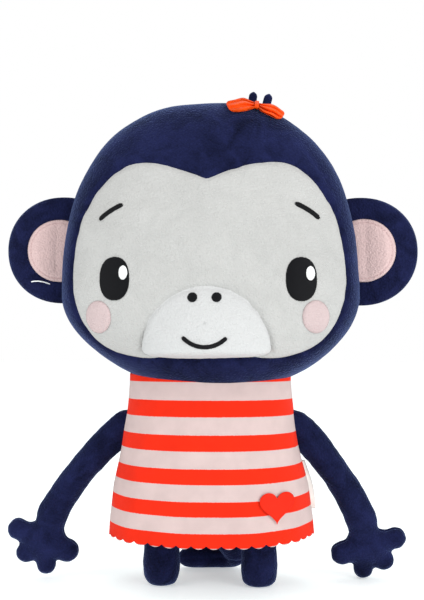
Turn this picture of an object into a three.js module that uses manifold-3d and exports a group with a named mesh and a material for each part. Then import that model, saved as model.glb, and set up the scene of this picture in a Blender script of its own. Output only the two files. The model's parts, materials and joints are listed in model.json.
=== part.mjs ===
// A stuffed toy monkey in a striped dress: short-pile skins, sewn at a flat seam, over fibre filling.
// Millimetres. +Z is up, +Y is behind the toy, and left and right are those of someone facing it.
// The origin is on the floor, under the middle of the toy.

import * as THREE from "three";
import { mergeVertices } from "three/addons/utils/BufferGeometryUtils.js";
import Module from "manifold-3d";

const wasm = await Module();
wasm.setup();

// ---- Driving dimensions ----

const SKIN = 2; // pile fabric, with its backing
const GAP = 0.3; // between two pieces that touch
const SLACK = 1.2; // between a skin and the filling inside it
const THREAD = 0.9; // height of satin-stitch embroidery
const FAR = 400; // beyond every face of the toy

const HEAD = {
  z: 240,
  halfWidth: 118,
  rise: 140.5,
  drop: 88,
  front: 60,
  back: 55,
  underside: 161,
};
// right half of the face panel's edge: a start, then curves of two handles and an end
const FACE_START = [0, 313.5];
const FACE_CURVES = [
  [[18, 321.5], [34, 327], [50, 327]],
  [[76, 327], [104.5, 289], [104.5, 240]],
  [[104.5, 200], [76, 179.5], [47, 179.5]],
  [[30, 179.5], [15, 179.5], [0, 179.5]],
];
const MUZZLE = { z: 187, halfWidth: 48.2, rise: 45.3, drop: 6.5, flat: 34, corner: 42.2, y: -45, bulge: 24 };
const EYE = { x: 70, z: 238.8, halfWidth: 11.4, halfHeight: 16.2 };
const HIGHLIGHT = { right: 6.1, up: 4.8, halfWidth: 3.4, halfHeight: 5.2 };
const BROW = { inner: [65.3, 294.6], middle: [75, 291.5], outer: [82.9, 283.7], width: 3 };
const NOSTRIL = { x: 9, z: 224.6, radius: 3.3 };
const MOUTH = { halfWidth: 16.5, ends: 195.2, middle: 179.5, width: 2.8 };
const CHEEK = { x: 81.9, z: 210.4, halfWidth: 9.6, halfHeight: 11.7 };
const EAR = { x: 118.5, z: 265, halfWidth: 45, halfHeight: 42.4, front: 8, back: 7, clear: 1 };
const EAR_ROOT = { x: 112, length: 26, thinnest: 0.3 }; // an ear is sewn in flat, then fills out
const EAR_PATCH = { x: 121, radius: 24.5, thick: 1.2, clear: 3.8 };
const TAG = { radius: 0.6, path: [[-145, -8.6, 239.6], [-137, -10.6, 240.4], [-128, -10.2, 237.6]] };
const BOW = { x: 37.7, y: -21, z: 377, knot: 4.2, depth: 8 };
// seen from the bow's middle: how far right and up, half width and half height
const BOW_LOOPS = {
  bow_left_loop: [-11.4, -1.2, 10.2, 6.6],
  bow_knot: [0, 0, 3.8, 5.4],
  bow_right_loop: [11.6, -5.2, 10.2, 7.4],
};
const TUFT = { root: 366, radius: 3, y: -4, tops: { left_tuft: [34, 390], right_tuft: [44, 387.5] } };

const DRESS_WALL = 1.5;
// height, half width, depth in front and depth behind, from the neck to the hem
const DRESS = [
  [166, 64, 38, 38],
  [150, 65, 45, 45],
  [135, 66, 51, 50],
  [109, 70, 56, 56],
  [78, 77, 59, 60],
  [52, 80, 58, 62],
  [38, 80.8, 57, 62],
];
const TORSO = [
  [166, 61.3, 35, 35],
  [150, 62.3, 42, 42],
  [135, 63.3, 48, 47],
  [109, 67, 53, 53],
  [88, 69, 53.5, 54],
  [70, 68, 50, 51],
  [58, 62, 44, 45],
  [52, 50, 34, 36],
];
const NECK = { z: 159.5, slope: 0.28 }; // the body's top falls away, so that the head can nod
const NECK_OVERRUN = 170; // a cut into the neck runs on to here, past the roof
const SKIRT_OVERRUN = 20; // and a cut into the skirt runs down to here, past the hem
const ARMHOLE = { low: 107, high: 137, halfDepth: 7, inner: 50 };
const HEART = { x: 53, low: 58, high: 79, halfWidth: 13, lobe: 6, swell: 2, waist: 8, film: 0.6 };
const LABEL = { top: [74, 79.5, 94], bottom: [81, 87, 48], y: [1.2, 1.8] }; // left, right, height

const SHOULDER = { x: 71.5, z: 124 };
const ARM_TAB = { inner: 66.9, outer: 70.5, halfHeight: 5, halfThick: 1.5 }; // unstuffed, in the side seam
const ARM_SPLAY = { left: 39.5, right: 33.5 }; // degrees from straight down
const ARM_BACK = { left: 6, right: 13 }; // degrees, so that the hands rest a little behind the legs
// along the arm from the shoulder, how far it bows outwards, half width and half thickness
const ARM = [
  [5, 0, 3.8, 2.2],
  [14, 0.8, 8.4, 5.5],
  [27, 2, 12, 10.5],
  [45, 2.6, 12.4, 11.6],
  [62, 1.8, 12.6, 11.4],
  [80, 0.6, 12.8, 11],
  [96, -2.5, 12.6, 10],
  [108, -6.5, 12, 9],
];
const PALM = { along: 114, outward: -8.5, radius: 17.5, thick: 11 };
// fingers seen from the palm's middle: along the arm, outwards, radius
const FINGERS = [
  [7, 22.5, 9],
  [17.5, 5, 9],
  [13, -13.3, 8.2],
  [-6.5, -19, 9.5],
];

const LEG = { x: 39, y: -3 };
const LEG_RINGS = [
  [0, 8.5],
  [2, 11],
  [6, 13.2],
  [12, 14],
  [37, 14],
  [47, 3.6],
  [51, 0.8],
];
const TAIL_RADIUS = 9;
const TAIL_SEAM = 9.4; // height of the seam between its two panels, where it lies on the floor
const TAIL_PATH = [
  [4, 30, 50.5],
  [6, 31.5, 40],
  [12, 38, 25],
  [18, 48, 13.5],
  [12, 57, 9.6],
  [-2, 58.5, 9.3],
  [-17, 56, 9.3],
  [-29, 49.5, 9.3],
];

// ---- Fabrics ----

const fabric = (colour, roughness) => ({ color: new THREE.Color(colour), roughness, metalness: 0 });
const NAVY = fabric("#2f3862", 0.95);
const GREY = fabric("#dadad8", 0.95);
const WHITE = fabric("#efefee", 0.95);
const BLACK_THREAD = fabric("#15161c", 0.5);
const WHITE_THREAD = fabric("#fbfbfb", 0.5);
const BLUSH = fabric("#e9d3d4", 0.9);
const ORANGE = fabric("#f63e1a", 0.6);
const JERSEY = fabric("#e7cdce", 0.85);
const FILLING = fabric("#f4f4f0", 1);
const NYLON = fabric("#f2f4f6", 0.3);
const TAPE = fabric("#f3efec", 0.7);

// ---- Ways of making a solid ----

// A closed geometry as a solid, turned the right way out.
function solidOf(geometry) {
  geometry.deleteAttribute("normal");
  geometry.deleteAttribute("uv");
  const merged = mergeVertices(geometry, 1e-4);
  const points = merged.attributes.position.array;
  const corner = (index) => new THREE.Vector3().fromArray(points, 3 * index);
  const triangles = [];
  let volume = 0;
  for (let i = 0; i < merged.index.count; i += 3) {
    const [a, b, c] = merged.index.array.slice(i, i + 3);
    if (a !== b && b !== c && c !== a) {
      triangles.push([a, b, c]);
      volume += corner(a).dot(corner(b).cross(corner(c)));
    }
  }
  const facing = volume < 0 ? triangles.map(([a, b, c]) => [a, c, b]) : triangles;
  return new wasm.Manifold(
    new wasm.Mesh({
      numProp: 3,
      vertProperties: new Float32Array(points),
      triVerts: new Uint32Array(facing.flat()),
    }),
  );
}

const signedPower = (value, power) => Math.sign(value) * Math.abs(value) ** power;

// How far a super-ellipse reaches at an angle. A power of 2 is an ellipse, and more is squarer.
function reach(angle, across, up, power) {
  const sideways = Math.abs(Math.cos(angle)) / across;
  const upward = Math.abs(Math.sin(angle)) / up;
  return (sideways ** power + upward ** power) ** (-1 / power);
}

// A cushion: a sphere with its poles on Y, pulled out to an outline in the XZ plane and to a depth
// in front and behind. A fullness of 2 is an ellipse from the side, and more is a squarer edge.
function cushion({ centre, outline, front, back, fullness, around, layers, thin }, inset = 0) {
  const geometry = new THREE.SphereGeometry(1, around, layers);
  const place = geometry.attributes.position;
  for (let i = 0; i < place.count; i += 1) {
    const angle = Math.atan2(place.getZ(i), place.getX(i));
    const spread = Math.hypot(place.getX(i), place.getZ(i)) ** (2 / fullness);
    const depth = signedPower(place.getY(i), 2 / fullness);
    const radius = spread * (outline(angle) - inset);
    const x = centre[0] + radius * Math.cos(angle);
    const y = depth * ((depth < 0 ? front : back) - inset);
    const z = centre[2] + radius * Math.sin(angle);
    place.setXYZ(i, x, centre[1] + y * (thin ? thin(x) : 1), z);
  }
  return solidOf(geometry);
}

// A skin through a row of rings. Each has a centre and two half axes, with u at right angles to v.
function loft(rings, around, power = 2) {
  const last = rings.length - 1;
  const profile = rings.map((ring, i) => new THREE.Vector2(1, i));
  const closed = [new THREE.Vector2(0, 0), ...profile, new THREE.Vector2(0, last)];
  const geometry = new THREE.LatheGeometry(closed, around);
  const place = geometry.attributes.position;
  for (let i = 0; i < place.count; i += 1) {
    const ring = rings[Math.round(place.getY(i))];
    const point = ring.centre.clone();
    if (Math.hypot(place.getX(i), place.getZ(i)) > 0.5) {
      const across = signedPower(place.getX(i), 2 / power);
      const through = signedPower(place.getZ(i), 2 / power);
      point.addScaledVector(ring.u, across);
      point.addScaledVector(through < 0 ? ring.v : ring.w ?? ring.v, through);
    }
    place.setXYZ(i, point.x, point.y, point.z);
  }
  return solidOf(geometry);
}

// Level rings for the body and the dress, from rows of height, half width, front and back depth.
function levelLoft(rows, inset, around = 28) {
  const rings = rows.map(([z, width, front, back]) => ({
    centre: new THREE.Vector3(0, 0, z),
    u: new THREE.Vector3(width - inset, 0, 0),
    v: new THREE.Vector3(0, front - inset, 0),
    w: new THREE.Vector3(0, back - inset, 0),
  }));
  return loft(rings, around, 2.4);
}

// A tube along a smooth curve that never runs along (1, 0, -1), from stations of how far along it
// they are, and their radius.
function tube(path, radii, around) {
  const curve = new THREE.CatmullRomCurve3(path);
  const rings = radii.map(([along, radius]) => {
    const tangent = curve.getTangentAt(along);
    const u = new THREE.Vector3(1, 0, -1).cross(tangent).normalize();
    const v = new THREE.Vector3().crossVectors(tangent, u);
    return {
      centre: curve.getPointAt(along),
      u: u.multiplyScalar(radius),
      v: v.multiplyScalar(radius),
    };
  });
  return loft(rings, around);
}

// A flat shape in the XZ plane, drawn out along Y.
function prism(shape, fromY, toY, curveSegments = 6) {
  const settings = { depth: toY - fromY, bevelEnabled: false, curveSegments };
  const geometry = new THREE.ExtrudeGeometry(shape, settings);
  geometry.rotateX(Math.PI / 2);
  geometry.translate(0, toY, 0);
  return solidOf(geometry);
}

// A block between two corners.
function block(low, high) {
  const size = high.map((value, i) => value - low[i]);
  const geometry = new THREE.BoxGeometry(...size);
  geometry.translate(...high.map((value, i) => (value + low[i]) / 2));
  return solidOf(geometry);
}

const FRONT_HALF = block([-FAR, -FAR, -FAR], [FAR, -GAP / 2, FAR]);
const BACK_HALF = block([-FAR, GAP / 2, -FAR], [FAR, FAR, FAR]);

function ellipse(x, z, halfWidth, halfHeight) {
  return new THREE.Shape().absellipse(x, z, halfWidth, halfHeight, 0, 2 * Math.PI);
}

// A stroke of satin stitch: a curve through three points, with a width.
function stroke([x0, z0], [x1, z1], [x2, z2], width) {
  const half = width / 2;
  const shape = new THREE.Shape();
  shape.moveTo(x0, z0 + half);
  shape.quadraticCurveTo(x1, z1 + half, x2, z2 + half);
  shape.lineTo(x2, z2 - half);
  shape.quadraticCurveTo(x1, z1 - half, x0, z0 - half);
  shape.closePath();
  return shape;
}

// ---- The assembly ----

const toy = new THREE.Group();
toy.name = "plush_monkey";

function addNode(parent, name, solid, finish) {
  const { vertProperties, triVerts } = solid.getMesh();
  const geometry = new THREE.BufferGeometry();
  geometry.setAttribute("position", new THREE.BufferAttribute(vertProperties, 3));
  geometry.setIndex(new THREE.BufferAttribute(triVerts, 1));
  geometry.computeVertexNormals();
  const mesh = new THREE.Mesh(geometry, new THREE.MeshStandardMaterial(finish));
  mesh.name = name;
  parent.add(mesh);
}

// Both halves of a skin and the filling between them, from a form that can be made smaller.
function addStuffed(parent, name, form, finish) {
  const skin = form(0).subtract(form(SKIN));
  addNode(parent, `${name}_front_panel`, skin.intersect(FRONT_HALF), finish);
  addNode(parent, `${name}_back_panel`, skin.intersect(BACK_HALF), finish);
  addNode(parent, `${name}_stuffing`, form(SKIN + SLACK), FILLING);
}

// Head: navy back and surround, inset face, padded muzzle. The neck opening is left open.

const headForm = {
  centre: [0, 0, HEAD.z],
  outline: (angle) => {
    const above = Math.sin(angle) > 0;
    return reach(angle, HEAD.halfWidth, above ? HEAD.rise : HEAD.drop, above ? 2.22 : 2);
  },
  front: HEAD.front,
  back: HEAD.back,
  fullness: 2.8,
  around: 30,
  layers: 14,
};
const muzzleForm = {
  centre: [0, MUZZLE.y, MUZZLE.z],
  outline: (angle) => {
    const above = Math.sin(angle) > 0;
    return reach(angle, MUZZLE.halfWidth, above ? MUZZLE.rise : MUZZLE.drop, above ? 2 : 3);
  },
  front: MUZZLE.bulge,
  back: 4,
  fullness: 2.4,
  around: 20,
  layers: 8,
};
const head = (inset) => cushion(headForm, inset);
const snout = (inset) => head(inset).add(cushion(muzzleForm, inset));

// The face panel's edge, made larger about the middle of the panel.
function faceShape(grow) {
  const middle = (FACE_START[1] + FACE_CURVES[2][2][1]) / 2;
  const grown = ([x, z]) => [x + Math.sign(x) * grow, z + Math.sign(z - middle) * grow];
  const start = grown(FACE_START);
  const right = FACE_CURVES.map((points) => points.map(grown));
  const ends = [start, ...right.map((points) => points[2])];
  const mirrored = ([x, z]) => [-x, z];
  const left = right.map(([first, second], i) => [second, first, ends[i]].map(mirrored)).reverse();
  const shape = new THREE.Shape();
  shape.moveTo(...start);
  for (const points of [...right, ...left]) {
    shape.bezierCurveTo(...points.flat());
  }
  return shape;
}

function muzzleShape(grow) {
  const side = MUZZLE.halfWidth + grow;
  const low = MUZZLE.z - MUZZLE.drop - grow;
  const shape = new THREE.Shape();
  shape.absellipse(0, MUZZLE.z, side, MUZZLE.rise + grow, 0, Math.PI);
  shape.bezierCurveTo(-side, low, -MUZZLE.corner, low, -MUZZLE.flat, low);
  shape.lineTo(MUZZLE.flat, low);
  shape.bezierCurveTo(MUZZLE.corner, low, side, low, side, MUZZLE.z);
  return shape;
}

function makeHead() {
  const neckCut = block([-FAR, -FAR, 0], [FAR, FAR, HEAD.underside]);
  const skin = head(0).subtract(neckCut).subtract(head(SKIN));
  const front = skin.intersect(FRONT_HALF);
  const padded = snout(0).subtract(snout(SKIN)).intersect(FRONT_HALF);
  const faceHole = prism(faceShape(GAP), -FAR, 0);
  const muzzleHole = prism(muzzleShape(GAP), -FAR, 0);
  const face = front.intersect(prism(faceShape(0), -FAR, 0)).subtract(muzzleHole);
  addNode(toy, "head_back_panel", skin.intersect(BACK_HALF), NAVY);
  addNode(toy, "head_surround_panel", front.subtract(faceHole), NAVY);
  addNode(toy, "face_panel", face, GREY);
  addNode(toy, "muzzle_panel", padded.intersect(prism(muzzleShape(0), -FAR, 0)), WHITE);
  addNode(toy, "head_stuffing", snout(SKIN + SLACK).subtract(neckCut), FILLING);
}

// Embroidery: a thin raised patch that follows the panel under it.
function addEmbroidery(name, ground, shape, finish, lift = GAP, segments = 4) {
  const layer = ground(-lift - THREAD).subtract(ground(-lift));
  addNode(toy, name, layer.intersect(prism(shape, -FAR, 0, segments)), finish);
}

function makeFeatures() {
  for (const [side, hand] of [["left", -1], ["right", 1]]) {
    const eyeX = hand * EYE.x;
    const glintX = eyeX + HIGHLIGHT.right;
    const glint = ellipse(glintX, EYE.z + HIGHLIGHT.up, HIGHLIGHT.halfWidth, HIGHLIGHT.halfHeight);
    const [inner, middle, outer] = [BROW.inner, BROW.middle, BROW.outer].map(([x, z]) => [hand * x, z]);
    const [start, end] = hand > 0 ? [inner, outer] : [outer, inner];
    const brow = stroke(start, middle, end, BROW.width);
    const nostril = ellipse(hand * NOSTRIL.x, NOSTRIL.z, NOSTRIL.radius, NOSTRIL.radius);
    const eye = ellipse(eyeX, EYE.z, EYE.halfWidth, EYE.halfHeight);
    const cheek = ellipse(hand * CHEEK.x, CHEEK.z, CHEEK.halfWidth, CHEEK.halfHeight);
    addEmbroidery(`${side}_eye`, head, eye, BLACK_THREAD);
    addEmbroidery(`${side}_eye_highlight`, head, glint, WHITE_THREAD, 2 * GAP + THREAD);
    addEmbroidery(`${side}_brow`, head, brow, BLACK_THREAD);
    addEmbroidery(`${side}_nostril`, snout, nostril, BLACK_THREAD);
    addEmbroidery(`${side}_cheek`, head, cheek, BLUSH);
  }
  const { halfWidth, ends, middle, width } = MOUTH;
  const smile = stroke([-halfWidth, ends], [0, middle], [halfWidth, ends], width);
  addEmbroidery("mouth", snout, smile, BLACK_THREAD);
}

// Ears: two panels with a layer of wadding, a pink patch on the front, sewn in flat at the root.
function makeEars() {
  const hollow = head(-EAR.clear);
  const hollowForPatch = head(-EAR_PATCH.clear); // so that the patch clears the cheek as the ear folds
  for (const [side, hand] of [["left", -1], ["right", 1]]) {
    const earForm = {
      centre: [hand * EAR.x, 0, EAR.z],
      outline: (angle) => reach(angle, EAR.halfWidth, EAR.halfHeight, 2.1),
      front: EAR.front,
      back: EAR.back,
      fullness: 2.3,
      around: 20,
      layers: 8,
      thin: (x) => {
        const out = (Math.abs(x) - EAR_ROOT.x) / EAR_ROOT.length;
        return THREE.MathUtils.clamp(out, EAR_ROOT.thinnest, 1);
      },
    };
    const ear = (inset) => cushion(earForm, inset).subtract(hollow);
    const skin = ear(0).subtract(cushion(earForm, SKIN));
    const over = cushion(earForm, -GAP - EAR_PATCH.thick).subtract(cushion(earForm, -GAP));
    const patch = ellipse(hand * EAR_PATCH.x, EAR.z, EAR_PATCH.radius, EAR_PATCH.radius);
    addNode(toy, `${side}_ear_front_panel`, skin.intersect(FRONT_HALF), NAVY);
    addNode(toy, `${side}_ear_back_panel`, skin.intersect(BACK_HALF), NAVY);
    addNode(toy, `${side}_ear_wadding`, ear(SKIN + SLACK / 2), FILLING);
    const disc = over.intersect(prism(patch, -FAR, 0)).subtract(hollowForPatch);
    addNode(toy, `${side}_ear_patch`, disc, BLUSH);
  }
}

// The nylon loop that held the swing tag, through the left ear's lower edge.
function makeTagFastener() {
  const path = TAG.path.map((point) => new THREE.Vector3(...point));
  const radii = [0, 0.5, 1].map((along) => [along, TAG.radius]);
  addNode(toy, "tag_fastener", tube(path, radii, 6), NYLON);
}

// Bow: two ribbon loops and a knot on the crown's front, with two short tufts behind.
function makeBow() {
  const ground = head(-GAP);
  const knot = block([BOW.x - BOW.knot, -FAR, 0], [BOW.x + BOW.knot, FAR, FAR]);
  for (const [name, [right, up, halfWidth, halfHeight]] of Object.entries(BOW_LOOPS)) {
    const loop = cushion({
      centre: [BOW.x + right, BOW.y, BOW.z + up],
      outline: (angle) => reach(angle, halfWidth, halfHeight, 2.6),
      front: BOW.depth,
      back: BOW.depth,
      fullness: 2.2,
      around: 12,
      layers: 6,
    }).subtract(ground);
    addNode(toy, name, name === "bow_knot" ? loop : loop.subtract(knot), ORANGE);
  }
  for (const [name, [x, top]] of Object.entries(TUFT.tops)) {
    const { root, radius } = TUFT;
    const profile = [[root, radius], [top - 3, radius], [top - 0.8, 0.7 * radius], [top, 0.3 * radius]];
    const rings = profile.map(([z, size]) => ({
      centre: new THREE.Vector3(x, TUFT.y, z),
      u: new THREE.Vector3(size, 0, 0),
      v: new THREE.Vector3(0, size, 0),
    }));
    addNode(toy, name, loft(rings, 10).subtract(ground), NAVY);
  }
}

// Everything under the neck is cut to a shallow roof, so that the head can tip on it.
function underRoof(solid) {
  const edge = NECK.z - NECK.slope * FAR;
  const roof = new THREE.Shape();
  roof.moveTo(-FAR, edge);
  roof.lineTo(0, NECK.z);
  roof.lineTo(FAR, edge);
  roof.lineTo(FAR, 2 * FAR);
  roof.lineTo(-FAR, 2 * FAR);
  roof.closePath();
  const geometry = new THREE.ExtrudeGeometry(roof, { depth: 2 * FAR, bevelEnabled: false });
  geometry.translate(0, 0, -FAR);
  geometry.applyMatrix4(new THREE.Matrix4().set(0, 0, 1, 0, 1, 0, 0, 0, 0, 1, 0, 0, 0, 0, 0, 1));
  return solid.subtract(solidOf(geometry));
}

// The filling's place inside the body skin: open at the neck, and a skin's thickness off the seat.
function torsoInside(inset) {
  const neck = TORSO[0].with(0, NECK_OVERRUN);
  const seat = TORSO.at(-1).with(0, TORSO.at(-1)[0] + inset);
  return levelLoft([neck, ...TORSO.slice(0, -1), seat], inset);
}

function makeTorso() {
  const skin = underRoof(levelLoft(TORSO, 0)).subtract(torsoInside(SKIN));
  addNode(toy, "torso_front_panel", skin.intersect(FRONT_HALF), NAVY);
  addNode(toy, "torso_back_panel", skin.intersect(BACK_HALF), NAVY);
  addNode(toy, "torso_stuffing", underRoof(torsoInside(SKIN + SLACK)), FILLING);
}

// Dress: a front and a back panel, sewn up the sides below and above the armholes.
function makeDress() {
  const neck = DRESS[0].with(0, NECK_OVERRUN);
  const skirt = DRESS.at(-1).with(0, SKIRT_OVERRUN);
  const inside = levelLoft([neck, ...DRESS, skirt], DRESS_WALL);
  const cloth = underRoof(levelLoft(DRESS, 0)).subtract(inside);
  const { low, high, halfDepth, inner } = ARMHOLE;
  const cutLeft = block([-FAR, -halfDepth, low], [-inner, halfDepth, high]);
  const cutRight = block([inner, -halfDepth, low], [FAR, halfDepth, high]);
  const open = cloth.subtract(cutLeft).subtract(cutRight);
  addNode(toy, "dress_front_panel", open.intersect(FRONT_HALF), JERSEY);
  addNode(toy, "dress_back_panel", open.intersect(BACK_HALF), JERSEY);
}

// A heart, ironed on near the hem.
function makeHeart() {
  const { x, low, high, halfWidth, lobe, swell, waist, film } = HEART;
  const [left, right] = [x - halfWidth, x + halfWidth];
  const [shoulder, top, belly] = [high - lobe, high + swell, low + lobe + 4];
  const heart = new THREE.Shape();
  heart.moveTo(x, low);
  heart.bezierCurveTo(x - waist, low + lobe, left, belly, left, shoulder);
  heart.bezierCurveTo(left, top, x - swell, top, x, shoulder);
  heart.bezierCurveTo(x + swell, top, right, top, right, shoulder);
  heart.bezierCurveTo(right, belly, x + waist, low + lobe, x, low);
  const layer = levelLoft(DRESS, -GAP - film).subtract(levelLoft(DRESS, -GAP));
  addNode(toy, "heart_patch", layer.intersect(prism(heart, -FAR, 0, 5)), ORANGE);
}

// The blank care label in the right side seam.
function makeLabel() {
  const [topLeft, topRight, top] = LABEL.top;
  const [bottomLeft, bottomRight, bottom] = LABEL.bottom;
  const label = new THREE.Shape();
  label.moveTo(topLeft, top);
  label.lineTo(topRight, top);
  label.lineTo(bottomRight, bottom);
  label.lineTo(bottomLeft, bottom);
  label.closePath();
  const tape = prism(label, ...LABEL.y).subtract(levelLoft(DRESS, -GAP));
  addNode(toy, "side_label", tape, TAPE);
}

// Arm: hangs straight down from its shoulder while it is made, then its group splays it.
function armForm(hand, inset) {
  const rings = ARM.map(([along, bow, width, thick], i) => {
    const before = ARM[Math.max(i - 1, 0)];
    const after = ARM[Math.min(i + 1, ARM.length - 1)];
    const lean = Math.atan2(after[1] - before[1], after[0] - before[0]);
    const shrink = Math.min(inset, 0.6 * thick);
    const end = i === 0 ? shrink : 0;
    const across = new THREE.Vector3(Math.cos(lean), 0, Math.sin(lean));
    return {
      centre: new THREE.Vector3(bow, 0, -along - end),
      u: across.multiplyScalar(width - shrink),
      v: new THREE.Vector3(0, thick - shrink, 0),
    };
  });
  const palm = {
    centre: [PALM.outward, 0, -PALM.along],
    outline: (angle) => {
      let radius = PALM.radius;
      for (const [along, outward, finger] of FINGERS) {
        const turn = angle - Math.atan2(-along, outward);
        const away = Math.hypot(along, outward);
        const off = away * Math.sin(turn);
        if (Math.abs(off) < finger && Math.cos(turn) > 0) {
          const tip = away * Math.cos(turn) + Math.sqrt(finger ** 2 - off ** 2);
          radius = Math.max(radius, tip);
        }
      }
      return radius;
    },
    front: PALM.thick,
    back: PALM.thick,
    fullness: 2.4,
    around: 24,
    layers: 6,
  };
  const arm = loft(rings, 12).add(cushion(palm, inset));
  return hand > 0 ? arm : arm.scale([-1, 1, 1]);
}

function makeArms() {
  for (const [side, hand] of [["left", -1], ["right", 1]]) {
    const group = new THREE.Group();
    group.position.set(hand * SHOULDER.x, 0, SHOULDER.z);
    group.rotation.order = "XYZ";
    group.rotation.x = THREE.MathUtils.degToRad(ARM_BACK[side]);
    group.rotation.y = THREE.MathUtils.degToRad(-hand * ARM_SPLAY[side]);
    toy.add(group);
    addStuffed(group, `${side}_arm`, (inset) => armForm(hand, inset), NAVY);
    const { inner, outer, halfHeight, halfThick } = ARM_TAB;
    const low = [hand > 0 ? inner : -outer, -halfThick, SHOULDER.z - halfHeight];
    const high = [hand > 0 ? outer : -inner, halfThick, SHOULDER.z + halfHeight];
    addNode(toy, `${side}_arm_tab`, block(low, high), NAVY);
  }
}

// Legs: short stubs with a flat underside, tapering to the hip seam inside the skirt.
function makeLegs() {
  for (const [side, hand] of [["left", -1], ["right", 1]]) {
    const group = new THREE.Group();
    group.position.set(hand * LEG.x, LEG.y, 0);
    toy.add(group);
    const form = (inset) => {
      const rings = LEG_RINGS.map(([z, radius], i) => {
        const shrink = Math.min(inset, 0.6 * radius);
        const lift = i === 0 ? inset : 0;
        return {
          centre: new THREE.Vector3(0, 0, i === LEG_RINGS.length - 1 ? z - inset : z + lift),
          u: new THREE.Vector3(radius - shrink, 0, 0),
          v: new THREE.Vector3(0, radius - shrink, 0),
        };
      });
      return loft(rings.sort((a, b) => a.centre.z - b.centre.z), 14);
    };
    addStuffed(group, `${side}_leg`, form, NAVY);
  }
}

// Tail: down from the seat, under the hem, and curled along the floor behind the legs.
function makeTail() {
  const path = TAIL_PATH.map((point) => new THREE.Vector3(...point));
  const steps = 12;
  const form = (inset) => {
    const radii = [];
    for (let i = 0; i <= steps; i += 1) {
      const along = i / steps;
      const root = Math.min(1, 0.2 + 3.2 * along);
      const tip = Math.sqrt(Math.max(0.12, 1 - Math.max(0, (along - 0.86) / 0.15) ** 2));
      const radius = TAIL_RADIUS * root * tip;
      const end = 0.012 * inset;
      radii.push([end + along * (1 - 2 * end), radius - Math.min(inset, 0.6 * radius)]);
    }
    return tube(path, radii, 10);
  };
  const skin = form(0).subtract(form(SKIN));
  const upper = block([-FAR, -FAR, TAIL_SEAM + GAP / 2], [FAR, FAR, FAR]);
  const lower = block([-FAR, -FAR, -FAR], [FAR, FAR, TAIL_SEAM - GAP / 2]);
  addNode(toy, "tail_upper_panel", skin.intersect(upper), NAVY);
  addNode(toy, "tail_lower_panel", skin.intersect(lower), NAVY);
  addNode(toy, "tail_stuffing", form(SKIN + SLACK), FILLING);
}

makeHead();
makeFeatures();
makeEars();
makeTagFastener();
makeBow();
makeTorso();
makeDress();
makeHeart();
makeLabel();
makeArms();
makeLegs();
makeTail();

export default toy;
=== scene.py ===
import json
import math

import bpy
import numpy as np
from mathutils import Matrix, Vector, noise
from mathutils.bvhtree import BVHTree


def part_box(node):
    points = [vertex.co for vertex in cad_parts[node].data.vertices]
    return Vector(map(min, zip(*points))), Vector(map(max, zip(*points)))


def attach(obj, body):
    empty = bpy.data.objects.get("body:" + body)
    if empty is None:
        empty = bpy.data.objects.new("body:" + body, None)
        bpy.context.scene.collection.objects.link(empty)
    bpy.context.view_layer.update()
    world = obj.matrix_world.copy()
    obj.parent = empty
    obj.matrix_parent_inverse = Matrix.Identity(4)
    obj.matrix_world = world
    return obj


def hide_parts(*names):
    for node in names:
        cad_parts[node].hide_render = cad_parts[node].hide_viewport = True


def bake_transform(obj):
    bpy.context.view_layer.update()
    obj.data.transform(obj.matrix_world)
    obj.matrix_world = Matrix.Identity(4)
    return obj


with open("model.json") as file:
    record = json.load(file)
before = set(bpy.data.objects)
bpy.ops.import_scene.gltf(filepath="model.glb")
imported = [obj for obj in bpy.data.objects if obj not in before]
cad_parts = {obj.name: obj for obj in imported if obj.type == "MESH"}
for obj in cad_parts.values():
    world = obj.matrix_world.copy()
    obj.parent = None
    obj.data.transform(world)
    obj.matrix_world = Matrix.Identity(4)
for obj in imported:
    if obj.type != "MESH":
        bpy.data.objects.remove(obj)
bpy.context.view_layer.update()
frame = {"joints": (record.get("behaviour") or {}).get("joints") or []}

# ---- Camera, lights and floor ----
# A white table lit from inside, in a white surround, with a broad soft light in front on the right
# and weaker ones on the left and above. The camera is a little right of centre, at chin height.

EYE_DISTANCE = 0.82
EYE_HEIGHT = 0.193
EYE_TURN = math.radians(3.5)
AIM_POINT = Vector((0.0012, 0, 0.225))

camera_data = bpy.data.cameras.new("camera")
camera_data.lens = 61.5
camera_data.sensor_width = 36
camera = bpy.data.objects.new("camera", camera_data)
bpy.context.collection.objects.link(camera)
camera.location = (EYE_DISTANCE * math.sin(EYE_TURN), -EYE_DISTANCE * math.cos(EYE_TURN), EYE_HEIGHT)
camera.rotation_euler = (AIM_POINT - camera.location).to_track_quat("-Z", "Y").to_euler()
bpy.context.scene.camera = camera
bpy.context.scene.view_settings.view_transform = "Standard"

LIGHTS = {
    "key": ((1.5, -1.4, 0.75), 1.4, 25),
    "fill": ((-1.6, -1.25, 0.9), 1.3, 14),
    "top": ((0.1, 0.5, 1.8), 1.2, 5),
}
for light_name, (place, size, power) in LIGHTS.items():
    light_data = bpy.data.lights.new(light_name, "AREA")
    light_data.shape = "DISK"
    light_data.size = size
    light_data.energy = power
    light = bpy.data.objects.new(light_name, light_data)
    bpy.context.collection.objects.link(light)
    light.location = place
    light.rotation_euler = (Vector((0, 0, 0.2)) - light.location).to_track_quat("-Z", "Y").to_euler()

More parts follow.
